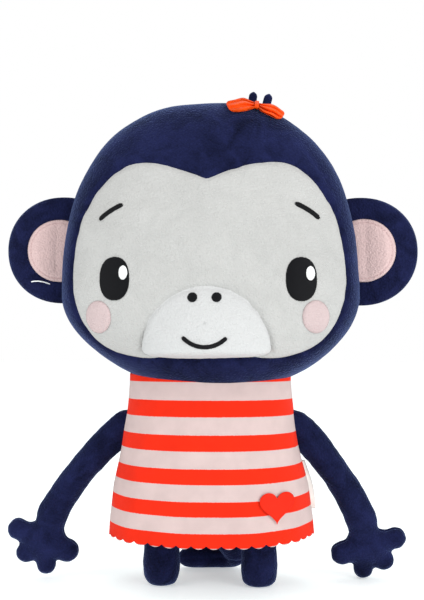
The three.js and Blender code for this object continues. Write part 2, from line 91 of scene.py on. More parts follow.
# The surround is white to look at, and gives a softer light than its looks.
world = bpy.data.worlds.new("surround")
bpy.context.scene.world = world
world.use_nodes = True
world_nodes = world.node_tree.nodes
world_links = world.node_tree.links
seen_light = world_nodes.new("ShaderNodeBackground")
seen_light.inputs["Color"].default_value = (1, 1, 1, 1)
given_light = world_nodes["Background"]
given_light.inputs["Color"].default_value = (1, 1, 1, 1)
given_light.inputs["Strength"].default_value = 0.7
light_path = world_nodes.new("ShaderNodeLightPath")
world_mix = world_nodes.new("ShaderNodeMixShader")
world_links.new(light_path.outputs["Is Camera Ray"], world_mix.inputs["Fac"])
world_links.new(given_light.outputs["Background"], world_mix.inputs[1])
world_links.new(seen_light.outputs["Background"], world_mix.inputs[2])
world_links.new(world_mix.outputs["Shader"], world_nodes["World Output"].inputs["Surface"])

floor_data = bpy.data.meshes.new("floor")
FLOOR_HALF = 8
floor_corners = [(-FLOOR_HALF, -FLOOR_HALF, 0), (FLOOR_HALF, -FLOOR_HALF, 0), (FLOOR_HALF, FLOOR_HALF, 0)]
floor_data.from_pydata([*floor_corners, (-FLOOR_HALF, FLOOR_HALF, 0)], [], [(0, 1, 2, 3)])
floor = bpy.data.objects.new("floor", floor_data)
bpy.context.collection.objects.link(floor)
floor_paint = bpy.data.materials.new("floor")
floor_paint.use_nodes = True
floor_shader = floor_paint.node_tree.nodes["Principled BSDF"]
floor_shader.inputs["Base Color"].default_value = (0.9, 0.965, 0.965, 1)
floor_shader.inputs["Roughness"].default_value = 0.6
floor_shader.inputs["Emission Color"].default_value = (0.94, 0.97, 0.97, 1)
floor_shader.inputs["Emission Strength"].default_value = 0.42
floor_data.materials.append(floor_paint)


# ---- Head ----
# A flat cushion of short-pile plush: one navy back panel, a navy surround, an inset grey face and a
# padded white muzzle, sewn edge to edge, turned, filled with fibre and closed at the neck.

HEAD_Z = 0.228
back_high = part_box("head_back_panel")[1]
surround_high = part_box("head_surround_panel")[1]
muzzle_low, muzzle_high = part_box("muzzle_panel")
HEAD_HALF = surround_high.x - 0.0017
HEAD_RISE = 0.152
HEAD_DROP = 0.0752
CROWN_SQUARENESS = 2.42
JAW_SQUARENESS = 1.85
CHIN_SHIFT = 0.0030
CHIN_SHIFT_TOP = 0.240
CHIN_SHIFT_HEIGHT = 0.064
HEAD_FRONT = 0.060
HEAD_BACK = back_high.y
HEAD_FULLNESS = 2.8
PANEL_CENTRE = Vector((0, 0, 0.205))
SEAM_DEPTH = 0.0017
SEAM_WIDTH = 0.0026
SEAM_ALLOWANCE = 0.004
PUCKER = 0.0004
PUCKER_REACH = 0.012
PUCKER_SIZE = 0.0075
SWELL = 0.0009
SWELL_SIZE = 0.035
RIM_TURN = 0.1
CLOTH_THICK = 0.0015


def reach(angle, across, up, power):
    """How far a super-ellipse goes at an angle: a power of 2 is an ellipse, more is squarer."""
    sideways = np.abs(np.cos(angle)) / across
    upward = np.abs(np.sin(angle)) / up
    return (sideways**power + upward**power) ** (-1 / power)


def head_outline(angle):
    above = np.sin(angle) > 0
    return np.where(
        above,
        reach(angle, HEAD_HALF, HEAD_RISE, CROWN_SQUARENESS),
        reach(angle, HEAD_HALF, HEAD_DROP, JAW_SQUARENESS),
    )


def head_spread(x, z):
    """0 in the middle of the head and 1 on the flat seam round it. The chin sits a little to the right."""
    x = x - CHIN_SHIFT * (np.clip(CHIN_SHIFT_TOP - z, 0, None) / CHIN_SHIFT_HEIGHT) ** 2
    return np.hypot(x, z - HEAD_Z) / head_outline(np.arctan2(z - HEAD_Z, x))


def head_depth(x, z, deep):
    spread = np.clip(head_spread(x, z), 0, 1)
    return deep * (1 - spread**HEAD_FULLNESS) ** (1 / HEAD_FULLNESS)


def bezier(start, first, second, end, steps=40):
    t = np.linspace(0, 1, steps, endpoint=False)[:, None]
    start, first, second, end = (np.array(p) for p in (start, first, second, end))
    return (1 - t) ** 3 * start + 3 * (1 - t) ** 2 * t * first + 3 * (1 - t) * t**2 * second + t**3 * end


def polar(points, centre=PANEL_CENTRE):
    """An outline's reach at each angle round a centre, from points along it in the XZ plane."""
    points = np.asarray(points) - np.array((centre.x, centre.z))
    angles = np.arctan2(points[:, 1], points[:, 0])
    order = np.argsort(angles)
    angles, reaches = angles[order], np.hypot(*points.T)[order]
    return lambda angle: np.interp(angle, angles, reaches, period=2 * math.pi)


FACE_HALF = 0.1045
FACE_NOTCH = (0, 0.3135)
FACE_LOBE = (0.050, 0.327)
FACE_SIDE = (FACE_HALF, 0.240)
FACE_CHIN = (0.047, 0.1795)
FACE_SHIFT = 0.0007
face_right = np.vstack([
    bezier(FACE_NOTCH, (0.018, 0.3215), (0.034, 0.327), FACE_LOBE),
    bezier(FACE_LOBE, (0.079, 0.327), (FACE_HALF, 0.291), FACE_SIDE),
    bezier(FACE_SIDE, (FACE_HALF, 0.198), (0.079, 0.1800), FACE_CHIN),
    bezier(FACE_CHIN, (0.030, 0.1795), (0.015, 0.1795), (0, 0.1795)),
])
face_outline = polar(np.vstack([face_right, face_right * (-1, 1)]) + (FACE_SHIFT, 0))

MUZZLE_Z = 0.187
MUZZLE_HALF = muzzle_high.x
MUZZLE_RISE = muzzle_high.z - MUZZLE_Z
MUZZLE_DROP = MUZZLE_Z - muzzle_low.z
MUZZLE_ROOT = -0.046
MUZZLE_BULGE = 0.023
MUZZLE_FULLNESS = 2.4
MUZZLE_BLEND = 0.007


def muzzle_reach(angle):
    above = np.sin(angle) > 0
    return np.where(
        above,
        reach(angle, MUZZLE_HALF, MUZZLE_RISE, 2),
        reach(angle, MUZZLE_HALF, MUZZLE_DROP, 3),
    )


turn = np.linspace(-math.pi, math.pi, 720, endpoint=False)
muzzle_points = np.stack([np.cos(turn), np.sin(turn)], 1) * muzzle_reach(turn)[:, None]
muzzle_outline = polar(muzzle_points + (0, MUZZLE_Z))


def rim_outline(angle):
    """The head's own seam, seen from the panels' centre."""
    near, far = np.zeros_like(angle), np.full_like(angle, 0.3)
    for _ in range(40):
        middle = (near + far) / 2
        x = middle * np.cos(angle)
        z = PANEL_CENTRE.z + middle * np.sin(angle)
        inside = head_spread(x, z) < 1
        near = np.where(inside, middle, near)
        far = np.where(inside, far, middle)
    return near


def front_y(x, z):
    return -head_depth(x, z, HEAD_FRONT)


def back_y(x, z):
    return head_depth(x, z, HEAD_BACK)


def muzzle_y(x, z):
    """The padded muzzle: a dome of its own, run smoothly into the face where the face is further out."""
    spread = np.hypot(x, z - MUZZLE_Z) / muzzle_reach(np.arctan2(z - MUZZLE_Z, x))
    rise = (1 - np.clip(spread, 0, 1) ** MUZZLE_FULLNESS) ** (1 / MUZZLE_FULLNESS)
    dome = MUZZLE_ROOT - MUZZLE_BULGE * rise
    face_y = front_y(x, z)
    ahead = np.clip(0.5 + 0.5 * (face_y - dome) / MUZZLE_BLEND, 0, 1)
    return face_y + (dome - face_y) * ahead - MUZZLE_BLEND * ahead * (1 - ahead)


def lumps(points, size, seed):
    """Soft, even unevenness between -1 and 1, for a filled skin."""
    shift = Vector((seed * 7.3, seed * 3.1, seed * 5.7))
    return np.array([noise.noise(Vector(p) / size + shift) for p in points])


def outward(across, down):
    """Unit normals of a grid, from its steps along its rows and down its columns."""
    normal = np.cross(across, down)
    return normal / np.maximum(np.linalg.norm(normal, axis=-1, keepdims=True), 1e-12)


def make_object(name, points, faces, smooth=True):
    data = bpy.data.meshes.new(name)
    corners = [tuple(int(i) for i in face) for face in faces]
    data.from_pydata([tuple(p) for p in np.asarray(points)], [], corners)
    data.update()
    if smooth:
        data.polygons.foreach_set("use_smooth", [True] * len(data.polygons))
    piece = bpy.data.objects.new(name, data)
    bpy.context.collection.objects.link(piece)
    return piece


def grid_faces(rows, columns, wrap, flip=False):
    faces = []
    for row in range(rows - 1):
        for column in range(columns if wrap else columns - 1):
            beside = (column + 1) % columns
            face = [
                row * columns + column,
                row * columns + beside,
                (row + 1) * columns + beside,
                (row + 1) * columns + column,
            ]
            faces.append(face[::-1] if flip else face)
    return faces


def add_modifier(piece, kind, **settings):
    modifier = piece.modifiers.new(kind.title(), kind)
    for key, value in settings.items():
        setattr(modifier, key, value)
    return modifier


def bake(piece):
    """Applies a piece's modifiers, so that it is a plain mesh."""
    graph = bpy.context.evaluated_depsgraph_get()
    data = bpy.data.meshes.new_from_object(piece.evaluated_get(graph))
    piece.modifiers.clear()
    piece.data = data
    return piece


def sewn_panel(name, inner, outer, depth, forward, around=360, rings=30, seed=1):
    """A panel between two seams round PANEL_CENTRE, dipping at each seam, its edges turned in."""
    angle = np.linspace(-math.pi, math.pi, around, endpoint=False)
    low = inner(angle) if inner else np.full_like(angle, 1e-5)
    high = outer(angle)
    steps = np.linspace(0, 1, rings)
    share = (1 - np.cos(math.pi * steps)) / 2 if inner else np.sin(math.pi / 2 * steps)
    radius = low + share[:, None] * (high - low)
    x = radius * np.cos(angle)
    z = PANEL_CENTRE.z + radius * np.sin(angle)
    y = depth(x, z)
    points = np.stack([x, y, z], -1)
    across = np.roll(points, -1, 1) - np.roll(points, 1, 1)
    down = np.gradient(points, axis=0)
    normal = outward(across, down)
    normal *= np.where(normal[..., 1:2] * forward > 0, 1, -1)
    rim_turn = np.clip(head_spread(x, z) - (1 - RIM_TURN), 0, RIM_TURN)[..., None] / RIM_TURN
    radial = np.stack([x, np.zeros_like(x), z - HEAD_Z], -1)
    radial /= np.maximum(np.linalg.norm(radial, axis=-1, keepdims=True), 1e-9)
    normal = normal * (1 - rim_turn**2) + radial * rim_turn**2
    normal /= np.linalg.norm(normal, axis=-1, keepdims=True)
    along = np.linalg.norm(np.diff(points, axis=0), axis=-1)
    walked = np.vstack([np.zeros(around), np.cumsum(along, axis=0)])
    dip = np.exp(-(((walked[-1] - walked) / SEAM_WIDTH) ** 2))
    if inner:
        dip = dip + np.exp(-((walked / SEAM_WIDTH) ** 2))
    flat = points.reshape(-1, 3)
    swell = lumps(flat, SWELL_SIZE, seed).reshape(x.shape) * SWELL
    near_seam = np.exp(-np.minimum(walked[-1] - walked, walked if inner else 1) / PUCKER_REACH)
    pucker = lumps(flat, PUCKER_SIZE, seed + 3).reshape(x.shape) * PUCKER * near_seam
    points = points + normal * (swell + pucker - SEAM_DEPTH * dip)[..., None]
    tuck_out = points[-1:] - normal[-1:] * SEAM_ALLOWANCE
    rows = [points, tuck_out]
    if inner:
        rows.insert(0, points[:1] - normal[:1] * SEAM_ALLOWANCE)
    grid = np.concatenate(rows)
    faces = grid_faces(len(grid), around, True, flip=forward > 0)
    verts = grid.reshape(-1, 3)
    if not inner:
        middle = len(verts)
        verts = np.vstack([verts, grid[0].mean(0)])
        for column in range(around):
            face = [column, middle, (column + 1) % around]
            faces.append(face[::-1] if forward > 0 else face)
    piece = make_object(name, verts, faces)
    add_modifier(piece, "SOLIDIFY", thickness=CLOTH_THICK, offset=-1)
    return bake(piece)


def new_material(name, values):
    """A material with these values on its shader."""
    material = bpy.data.materials.new(name)
    material.use_nodes = True
    shader = material.node_tree.nodes["Principled BSDF"]
    for socket, value in values.items():
        shader.inputs[socket].default_value = value
    return material


def feed(material, socket, value):
    """Sets an input to a number or a colour, or joins it to another node's output."""
    if isinstance(value, bpy.types.NodeSocket):
        material.node_tree.links.new(value, socket)
    else:
        socket.default_value = value


def add_node(material, kind, output, inputs=None):
    """One node of a pattern, with its inputs fed by name; gives back one of its outputs."""
    node = material.node_tree.nodes.new("ShaderNode" + kind)
    for name, value in (inputs or {}).items():
        feed(material, node.inputs[name], value)
    return node.outputs[output]


def maths(material, operation, *values):
    """One sum in a pattern, worked on numbers and on other nodes' outputs."""
    node = material.node_tree.nodes.new("ShaderNodeMath")
    node.operation = operation
    for socket, value in zip(node.inputs, values):
        feed(material, socket, value)
    return node.outputs["Value"]


def shades(material, pattern, dark, light, places=(0, 1)):
    """Colour that runs from dark to light as a pattern rises from one value to another."""
    node = material.node_tree.nodes.new("ShaderNodeValToRGB")
    for element, place, colour in zip(node.color_ramp.elements, places, (dark, light)):
        element.position = place
        element.color = (*[min(1, c) for c in colour], 1)
    feed(material, node.inputs["Fac"], pattern)
    return node.outputs["Color"]


def surface(material, colour, height=None, strength=0, distance=0):
    """Gives a material its colour, and a relief where there is one."""
    shader = material.node_tree.nodes["Principled BSDF"]
    feed(material, shader.inputs["Base Color"], colour)
    if height is not None:
        relief = {"Strength": strength, "Distance": distance, "Height": height}
        feed(material, shader.inputs["Normal"], add_node(material, "Bump", "Normal", relief))
    return material


def plush(name, colour, deep=0.80, light=1.12, sheen=0.35, bloom=None):
    """Short-pile plush: fine pile, brushed patches that catch the light, and a soft bloom at its edges."""
    tint = bloom or [min(1, 0.5 + 0.5 * c) for c in colour]
    values = {"Roughness": 0.95, "Specular IOR Level": 0.05}
    values.update({"Sheen Weight": sheen, "Sheen Roughness": 0.35, "Sheen Tint": (*tint, 1)})
    material = new_material(name, values)
    place = add_node(material, "TexCoord", "Object")

    def cloud(scale, detail, distortion=0):
        inputs = {"Vector": place, "Scale": scale, "Detail": detail, "Distortion": distortion}
        return add_node(material, "TexNoise", "Fac", inputs)

    patches = maths(material, "MULTIPLY", cloud(17, 2, 0.6), 0.45)
    brushed = maths(material, "MULTIPLY_ADD", cloud(55, 3, 1.2), 0.55, patches)
    pile = cloud(750, 2)
    shade = maths(material, "MULTIPLY_ADD", pile, 0.30, maths(material, "MULTIPLY", brushed, 0.85))
    dark, pale = [c * deep for c in colour], [c * light for c in colour]
    tufts = add_node(material, "TexVoronoi", "Distance", {"Vector": place, "Scale": 620})
    relief = maths(material, "SUBTRACT", pile, tufts)
    return surface(material, shades(material, shade, dark, pale, (0.40, 0.78)), relief, 0.6, 0.0008)


def finish(piece, material, body, replaced=()):
    """Paints a piece and hangs it on a body; given (body, body, start, end) instead, it only bakes its
    place into its mesh.
    """
    piece.data.materials.clear()
    piece.data.materials.append(material)
    if isinstance(body, str):
        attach(piece, body)
    else:
        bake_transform(piece)
    if replaced:
        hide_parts(*replaced)
    return piece


navy_plush = plush(
    "navy short-pile plush",
    (0.0062, 0.0078, 0.0310),
    deep=0.42,
    light=2.3,
    sheen=0.50,
    bloom=(0.30, 0.42, 0.85),
)
grey_plush = plush("grey short-pile plush", (0.455, 0.450, 0.440), deep=0.93, light=1.06, sheen=0.12)
white_plush = plush("white short-pile plush", (0.545, 0.545, 0.545), deep=0.97, light=1.03, sheen=0.10)
pink_plush = plush("pink short-pile plush", (0.62, 0.45, 0.44), deep=0.93, light=1.06, sheen=0.12)
cheek_plush = plush("pale pink short-pile plush", (0.53, 0.42, 0.42), deep=0.95, light=1.05, sheen=0.12)

head_back = sewn_panel("head_back", None, rim_outline, back_y, 1, rings=44, seed=2)
finish(head_back, navy_plush, "head", ["head_back_panel", "head_stuffing"])
head_surround = sewn_panel("head_surround", face_outline, rim_outline, front_y, -1, seed=3)
finish(head_surround, navy_plush, "head", ["head_surround_panel"])
face = sewn_panel("face", muzzle_outline, face_outline, front_y, -1, rings=40, seed=4)
finish(face, grey_plush, "head", ["face_panel"])
muzzle = sewn_panel("muzzle", None, muzzle_outline, muzzle_y, -1, around=240, rings=30, seed=5)
finish(muzzle, white_plush, "head", ["muzzle_panel"])


# ---- Embroidered face ----
# Satin stitch in shiny thread, laid side by side across each shape through the face panels before
# the head was sewn: eyes, highlights, brows, nostrils and mouth. The cheeks are thin plush discs.

THREAD_RADIUS = 0.00026
THREAD_PITCH = 0.00042


def thread(name, colour):
    """Glossy rayon thread, a little uneven from strand to strand."""
    material = new_material(name, {"Roughness": 0.45, "Specular IOR Level": 0.12})
    place = add_node(material, "TexCoord", "Object")
    strand = add_node(material, "TexNoise", "Fac", {"Vector": place, "Scale": 1500})
    dark, pale = [c * 0.7 for c in colour], [c * 1.25 + 0.004 for c in colour]
    return surface(material, shades(material, strand, dark, pale))


def thread_tree(material):
    """A tree that gives every curve the round section of a thread."""
    tree = bpy.data.node_groups.new("threads", "GeometryNodeTree")
    tree.interface.new_socket("Geometry", in_out="INPUT", socket_type="NodeSocketGeometry")
    radius = tree.interface.new_socket("Thread radius", in_out="INPUT", socket_type="NodeSocketFloat")
    sides = tree.interface.new_socket("Sides", in_out="INPUT", socket_type="NodeSocketInt")
    tree.interface.new_socket("Geometry", in_out="OUTPUT", socket_type="NodeSocketGeometry")
    start = tree.nodes.new("NodeGroupInput")
    end = tree.nodes.new("NodeGroupOutput")
    section = tree.nodes.new("GeometryNodeCurvePrimitiveCircle")
    sweep = tree.nodes.new("GeometryNodeCurveToMesh")
    sweep.inputs["Fill Caps"].default_value = True
    smooth = tree.nodes.new("GeometryNodeSetShadeSmooth")
    real = tree.nodes.new("GeometryNodeRealizeInstances")
    paint = tree.nodes.new("GeometryNodeSetMaterial")
    paint.inputs["Material"].default_value = material
    join = tree.links.new
    join(start.outputs["Geometry"], sweep.inputs["Curve"])
    join(start.outputs["Thread radius"], section.inputs["Radius"])
    join(start.outputs["Sides"], section.inputs["Resolution"])
    join(section.outputs["Curve"], sweep.inputs["Profile Curve"])
    join(sweep.outputs["Mesh"], smooth.inputs["Geometry"])
    join(smooth.outputs["Geometry"], real.inputs["Geometry"])
    join(real.outputs["Geometry"], paint.inputs["Geometry"])
    join(paint.outputs["Geometry"], end.inputs["Geometry"])
    return tree, radius.identifier, sides.identifier


def stitches(name, lines, material, radius=THREAD_RADIUS, sides=5):
    """One mesh of threads, each along a line of points."""
    data = bpy.data.curves.new(name + "_lines", "CURVE")
    data.dimensions = "3D"
    for line in lines:
        spline = data.splines.new("POLY")
        spline.points.add(len(line) - 1)
        for point, place in zip(spline.points, line):
            point.co = (*place, 1)
    path = bpy.data.objects.new(name + "_lines", data)
    bpy.context.collection.objects.link(path)
    tree, radius_socket, sides_socket = thread_tree(material)
    modifier = path.modifiers.new("threads", "NODES")
    modifier.node_group = tree
    modifier[radius_socket] = radius
    modifier[sides_socket] = sides
    graph = bpy.context.evaluated_depsgraph_get()
    mesh = bpy.data.meshes.new_from_object(path.evaluated_get(graph))
    mesh.name = name
    piece = bpy.data.objects.new(name, mesh)
    bpy.context.collection.objects.link(piece)
    bpy.data.objects.remove(path)
    return piece


def surface_of(piece):
    """How far forward a piece's front is at a place in the XZ plane."""
    places = [v.co for v in piece.data.vertices]
    tree = BVHTree.FromPolygons(places, [p.vertices for p in piece.data.polygons])

    def ground(x, z):
        hit = tree.ray_cast(Vector((x, -1, z)), Vector((0, 1, 0)))[0]
        return hit.y if hit else 0.0

    return ground


def laid_line(start, end, ground, lift, steps=9):
    """A stitch between two points of the XZ plane, lying on a panel and rounded over its middle."""
    line = []
    for share in np.linspace(0, 1, steps):
        x = start[0] + share * (end[0] - start[0])
        z = start[1] + share * (end[1] - start[1])
        crown = math.sqrt(max(0, 1 - (2 * share - 1) ** 2))
        line.append((x, ground(x, z) - 0.0001 - lift * crown, z))
    return line


def satin_disc(name, centre, half, ground, material, lift=0.0009, power=2, ragged=0.00012, seed=1):
    """An oval filled with level stitches, squarer as its power rises."""
    draw = np.random.default_rng(seed)
    lines = []
    for z in np.arange(-half[1] + THREAD_PITCH / 2, half[1], THREAD_PITCH):
        width = half[0] * max(0, 1 - abs(z / half[1]) ** power) ** (1 / power)
        left, right = draw.uniform(-ragged, ragged, 2)
        begin = (centre[0] - width + left, centre[1] + z)
        finish_at = (centre[0] + width + right, centre[1] + z)
        lines.append(laid_line(begin, finish_at, ground, lift * min(1, width / 0.004 + 0.25)))
    return stitches(name, lines, material)


def satin_stroke(name, path, width, ground, material, lift=0.0009, seed=1):
    """A line of stitches across a curve, narrowing at its ends."""
    draw = np.random.default_rng(seed)
    path = np.asarray(path)
    gaps = np.linalg.norm(np.diff(path, axis=0), axis=1)
    walked = np.concatenate([[0], np.cumsum(gaps)])
    stations = np.arange(THREAD_PITCH / 2, walked[-1], THREAD_PITCH)
    tangents = np.gradient(path, axis=0)
    lines = []
    for station in stations:
        middle = np.array([np.interp(station, walked, path[:, i]) for i in (0, 1)])
        tangent = np.array([np.interp(station, walked, tangents[:, i]) for i in (0, 1)])
        tangent /= np.linalg.norm(tangent)
        end_room = min(station, walked[-1] - station)
        half = width / 2 * min(1, 0.45 + end_room / width) + draw.uniform(-0.0001, 0.0001)
        side = np.array([-tangent[1], tangent[0]]) * half
        lines.append(laid_line(middle - side, middle + side, ground, lift, steps=6))
    return stitches(name, lines, material)


black_thread = thread("black embroidery thread", (0.0045, 0.0045, 0.0060))
white_thread = thread("white embroidery thread", (0.88, 0.88, 0.88))

EYE = {"x": 0.070, "z": 0.2386, "half": (0.0116, 0.0163)}
EYE_SHIFT = 0.00108
EYE_TILT = 0.0004
EYE_SQUARENESS = 2.3
GLINT_FROM_EYE = (0.0068, 0.0044)
GLINT_HALF = (0.0032, 0.0052)
NOSTRIL = {"x": 0.009, "z": 0.2246, "radius": 0.0036}
NOSTRIL_SHIFT = 0.0006
BROW_POINTS = [(0.0650, 0.2952), (0.0692, 0.2938), (0.0798, 0.2884), (0.0834, 0.2834)]
BROW_SHIFT = 0.0018
BROW_WIDTH = 0.0034
MOUTH_POINTS = [(-0.0165, 0.1952), (-0.0075, 0.1852), (0.0075, 0.1852), (0.0165, 0.1952)]
MOUTH_WIDTH = 0.0029
CHEEK = {"x": 0.0819, "z": 0.2104, "half": (0.0096, 0.0117)}


def cheek_disc(name, hand):
    """A thin oval of pink plush laid on the face, soft at its edge."""
    around, rings = 64, 12
    angle = np.linspace(0, 2 * math.pi, around, endpoint=False)
    rows = []
    for share in np.linspace(0.02, 1, rings):
        x = hand * CHEEK["x"] + share * CHEEK["half"][0] * np.cos(angle)
        z = CHEEK["z"] + share * CHEEK["half"][1] * np.sin(angle)
        lift = 0.0014 * (1 - share**6) - 0.0004 * share**6
        y = np.array([face_front(*place) for place in zip(x, z)])
        rows.append(np.stack([x, y - lift, z], -1))
    grid = np.stack(rows).reshape(-1, 3)
    faces = grid_faces(rings, around, True)
    faces.append(list(range(around))[::-1])
    piece = make_object(name, grid, faces)
    add_modifier(piece, "SOLIDIFY", thickness=0.001, offset=-1)
    return bake(piece)


face_front, muzzle_front = surface_of(face), surface_of(muzzle)
for side, hand in (("left", -1), ("right", 1)):
    eye_centre = (hand * EYE["x"] + EYE_SHIFT, EYE["z"] - hand * EYE_TILT)
    eye_name = f"{side}_eye_stitches"
    eye = satin_disc(eye_name, eye_centre, EYE["half"], face_front, black_thread, power=EYE_SQUARENESS)
    finish(eye, black_thread, "head", [f"{side}_eye"])
    glint_centre = (eye_centre[0] + GLINT_FROM_EYE[0], eye_centre[1] + GLINT_FROM_EYE[1])
    glint_ground = surface_of(eye)
    glint = satin_disc(
        f"{side}_glint_stitches", glint_centre, GLINT_HALF, glint_ground, white_thread, lift=0.0005, seed=12
    )
    finish(glint, white_thread, "head", [f"{side}_eye_highlight"])
    brow_path = bezier(*[(hand * x + BROW_SHIFT, z) for x, z in BROW_POINTS], steps=24)
    brow = satin_stroke(f"{side}_brow_stitches", brow_path, BROW_WIDTH, face_front, black_thread, seed=13)
    finish(brow, black_thread, "head", [f"{side}_brow"])
    nostril_centre = (hand * NOSTRIL["x"] - NOSTRIL_SHIFT, NOSTRIL["z"])
    nostril_half = (NOSTRIL["radius"], NOSTRIL["radius"])
    nostril_name = f"{side}_nostril_stitches"
    nostril = satin_disc(nostril_name, nostril_centre, nostril_half, muzzle_front, black_thread)
    finish(nostril, black_thread, "head", [f"{side}_nostril"])
    cheek = cheek_disc(f"{side}_cheek_disc", hand)
    finish(cheek, cheek_plush, "head", [f"{side}_cheek"])

mouth_path = bezier(*MOUTH_POINTS, steps=60)
mouth = satin_stroke("mouth_stitches", mouth_path, MOUTH_WIDTH, muzzle_front, black_thread, seed=14)
finish(mouth, black_thread, "head", ["mouth"])


# ---- Ears ----
# Two navy panels with thin wadding, turned and sewn flat into the head's seam, with a pink plush
# patch topstitched inside the front. A nylon swing-tag loop is still through the left ear.

EAR_X = {"left": -0.1190, "right": 0.1192}
EAR_Z = {"left": 0.2655, "right": 0.2632}
EAR_HALF = (0.045, 0.0428)
EAR_SQUARENESS = 2.1
EAR_DEPTH = 0.0078
EAR_FULLNESS = 2.3
EAR_ROOT_X = 0.112
EAR_ROOT_LENGTH = 0.026
STITCHED_IN = 0.0021
STITCH_PITCH = 0.0026
STITCH_SHARE = 0.72
PATCH_RADIUS = 0.0243
PATCH_MIDDLE = {"left": (-0.1213, 0.2646), "right": (0.1214, 0.2636)}


def ear_form(x, z, side):
    """Half the ear's thickness at a place in the XZ plane."""
    across, up = x - EAR_X[side], z - EAR_Z[side]
    spread = np.hypot(across, up) / reach(np.arctan2(up, across), *EAR_HALF, EAR_SQUARENESS)
    full = EAR_DEPTH * (1 - np.clip(spread, 0, 1) ** EAR_FULLNESS) ** (1 / EAR_FULLNESS)
    return full * np.clip((np.abs(x) - EAR_ROOT_X) / EAR_ROOT_LENGTH, 0.45, 1)


def ear_panel(name, side, forward, seed):
    """One side of an ear, from its middle out to the seam, with its edge turned in."""
    around, rings = 160, 30
    angle = np.linspace(-math.pi, math.pi, around, endpoint=False)
    share = np.sin(math.pi / 2 * np.linspace(0.01, 1, rings))[:, None]
    radius = share * reach(angle, *EAR_HALF, EAR_SQUARENESS)
    x = EAR_X[side] + radius * np.cos(angle)
    z = EAR_Z[side] + radius * np.sin(angle)
    edge = (1 - share) * EAR_HALF[0]
    dip = 0.0009 * np.exp(-((edge / 0.0025) ** 2))
    points = np.stack([x, forward * ear_form(x, z, side), z], -1)
    flat = points.reshape(-1, 3)
    swell = (lumps(flat, 0.02, seed) * 0.0006).reshape(x.shape)
    pucker = (lumps(flat, 0.006, seed + 1) * 0.0006).reshape(x.shape) * np.exp(-edge / 0.009)
    points[..., 1] += forward * (swell + pucker) * (1 - share**8)
    radial = np.stack([np.cos(angle), np.zeros(around), np.sin(angle)], -1)
    points = points - radial[None] * dip[..., None]
    tuck = points[-1:] - radial[None] * 0.003
    grid = np.concatenate([points, tuck])
    flip = forward > 0
    faces = grid_faces(len(grid), around, True, flip=flip)
    first = list(range(around))
    faces.append(first if flip else first[::-1])
    piece = make_object(name, grid.reshape(-1, 3), faces)
    add_modifier(piece, "SOLIDIFY", thickness=0.0012, offset=-1)
    return bake(piece)


def ear_patch(name, side, ground):
    """A round of pink plush on the ear's front, drawn down where it is stitched."""
    around, rings = 96, 30
    angle = np.linspace(-math.pi, math.pi, around, endpoint=False)
    middle_x, middle_z = PATCH_MIDDLE[side]
    rows = []
    for share in np.linspace(0.03, 1, rings):
        x = middle_x + share * PATCH_RADIUS * np.cos(angle)
        z = middle_z + share * PATCH_RADIUS * np.sin(angle)
        stitched = math.exp(-((((1 - share) * PATCH_RADIUS - STITCHED_IN) / 0.0009) ** 2))
        lift = 0.0016 * (1 - share**30) - 0.0010 * stitched
        y = np.array([ground(*place) for place in zip(x, z)])
        rows.append(np.stack([x, y - lift, z], -1))
    grid = np.stack(rows).reshape(-1, 3)
    faces = grid_faces(rings, around, True)
    faces.append(list(range(around))[::-1])
    piece = make_object(name, grid, faces)
    add_modifier(piece, "SOLIDIFY", thickness=0.001, offset=-1)
    return bake(piece)


def topstitch(name, side, ground, material):
    """A ring of machine stitches just inside the patch's edge."""
    middle_x, middle_z = PATCH_MIDDLE[side]
    radius = PATCH_RADIUS - STITCHED_IN
    count = int(2 * math.pi * radius / STITCH_PITCH)
    lines = []
    for stitch in range(count):
        begin = 2 * math.pi * stitch / count
        end = begin + 2 * math.pi * STITCH_SHARE / count
        ends = [(middle_x + radius * math.cos(a), middle_z + radius * math.sin(a)) for a in (begin, end)]
        lines.append(laid_line(*ends, ground, 0.0003, steps=5))
    return stitches(name, lines, material, radius=0.00022)


pink_thread = thread("pink sewing thread", (0.62, 0.44, 0.44))
for side, hand in (("left", -1), ("right", 1)):
    replaced = {-1: [f"{side}_ear_front_panel", f"{side}_ear_wadding"], 1: [f"{side}_ear_back_panel"]}
    fold = ("head", f"{side}_ear", (hand * 0.108, 0, 0.265), (hand * 0.126, 0, 0.265))
    ear_skins = {}
    for forward, word in ((-1, "front"), (1, "back")):
        panel = ear_skins[word] = ear_panel(f"{side}_ear_{word}", side, forward, seed=21 + forward)
        finish(panel, navy_plush, fold, replaced[forward])
    patch = ear_patch(f"{side}_ear_pink", side, surface_of(ear_skins["front"]))
    finish(patch, pink_plush, fold, [f"{side}_ear_patch"])
    ring = topstitch(f"{side}_ear_topstitch", side, surface_of(patch), pink_thread)
    finish(ring, pink_thread, fold)

nylon = new_material("clear nylon", {"Roughness": 0.25})
nylon_haze = add_node(nylon, "TexNoise", "Fac", {"Scale": 400})
surface(nylon, shades(nylon, nylon_haze, (0.78, 0.80, 0.82), (0.92, 0.93, 0.94)))

TAG_BAR_END = (-0.1452, 0.2396)
TAG_FAR_END = (-0.1278, 0.2376)
TAG_BAR_HALF = 0.0016
tag_line = []
for share in np.linspace(0, 1, 12):
    arch = math.sin(math.pi * share)
    x = TAG_BAR_END[0] + share * (TAG_FAR_END[0] - TAG_BAR_END[0])
    z = TAG_BAR_END[1] + share * (TAG_FAR_END[1] - TAG_BAR_END[1]) + 0.0014 * arch
    lift = 0.0004 + 0.0022 * arch
    tag_line.append((x, -float(ear_form(x, z, "left")) - lift, z))
bar_heights = (-TAG_BAR_HALF, 0, TAG_BAR_HALF)
tag_bar = [(TAG_BAR_END[0], tag_line[0][1], TAG_BAR_END[1] + height) for height in bar_heights]
tag = stitches("swing_tag_loop", [tag_line, tag_bar], nylon, radius=0.0005, sides=10)
finish(tag, nylon, "left_ear", ["tag_fastener"])


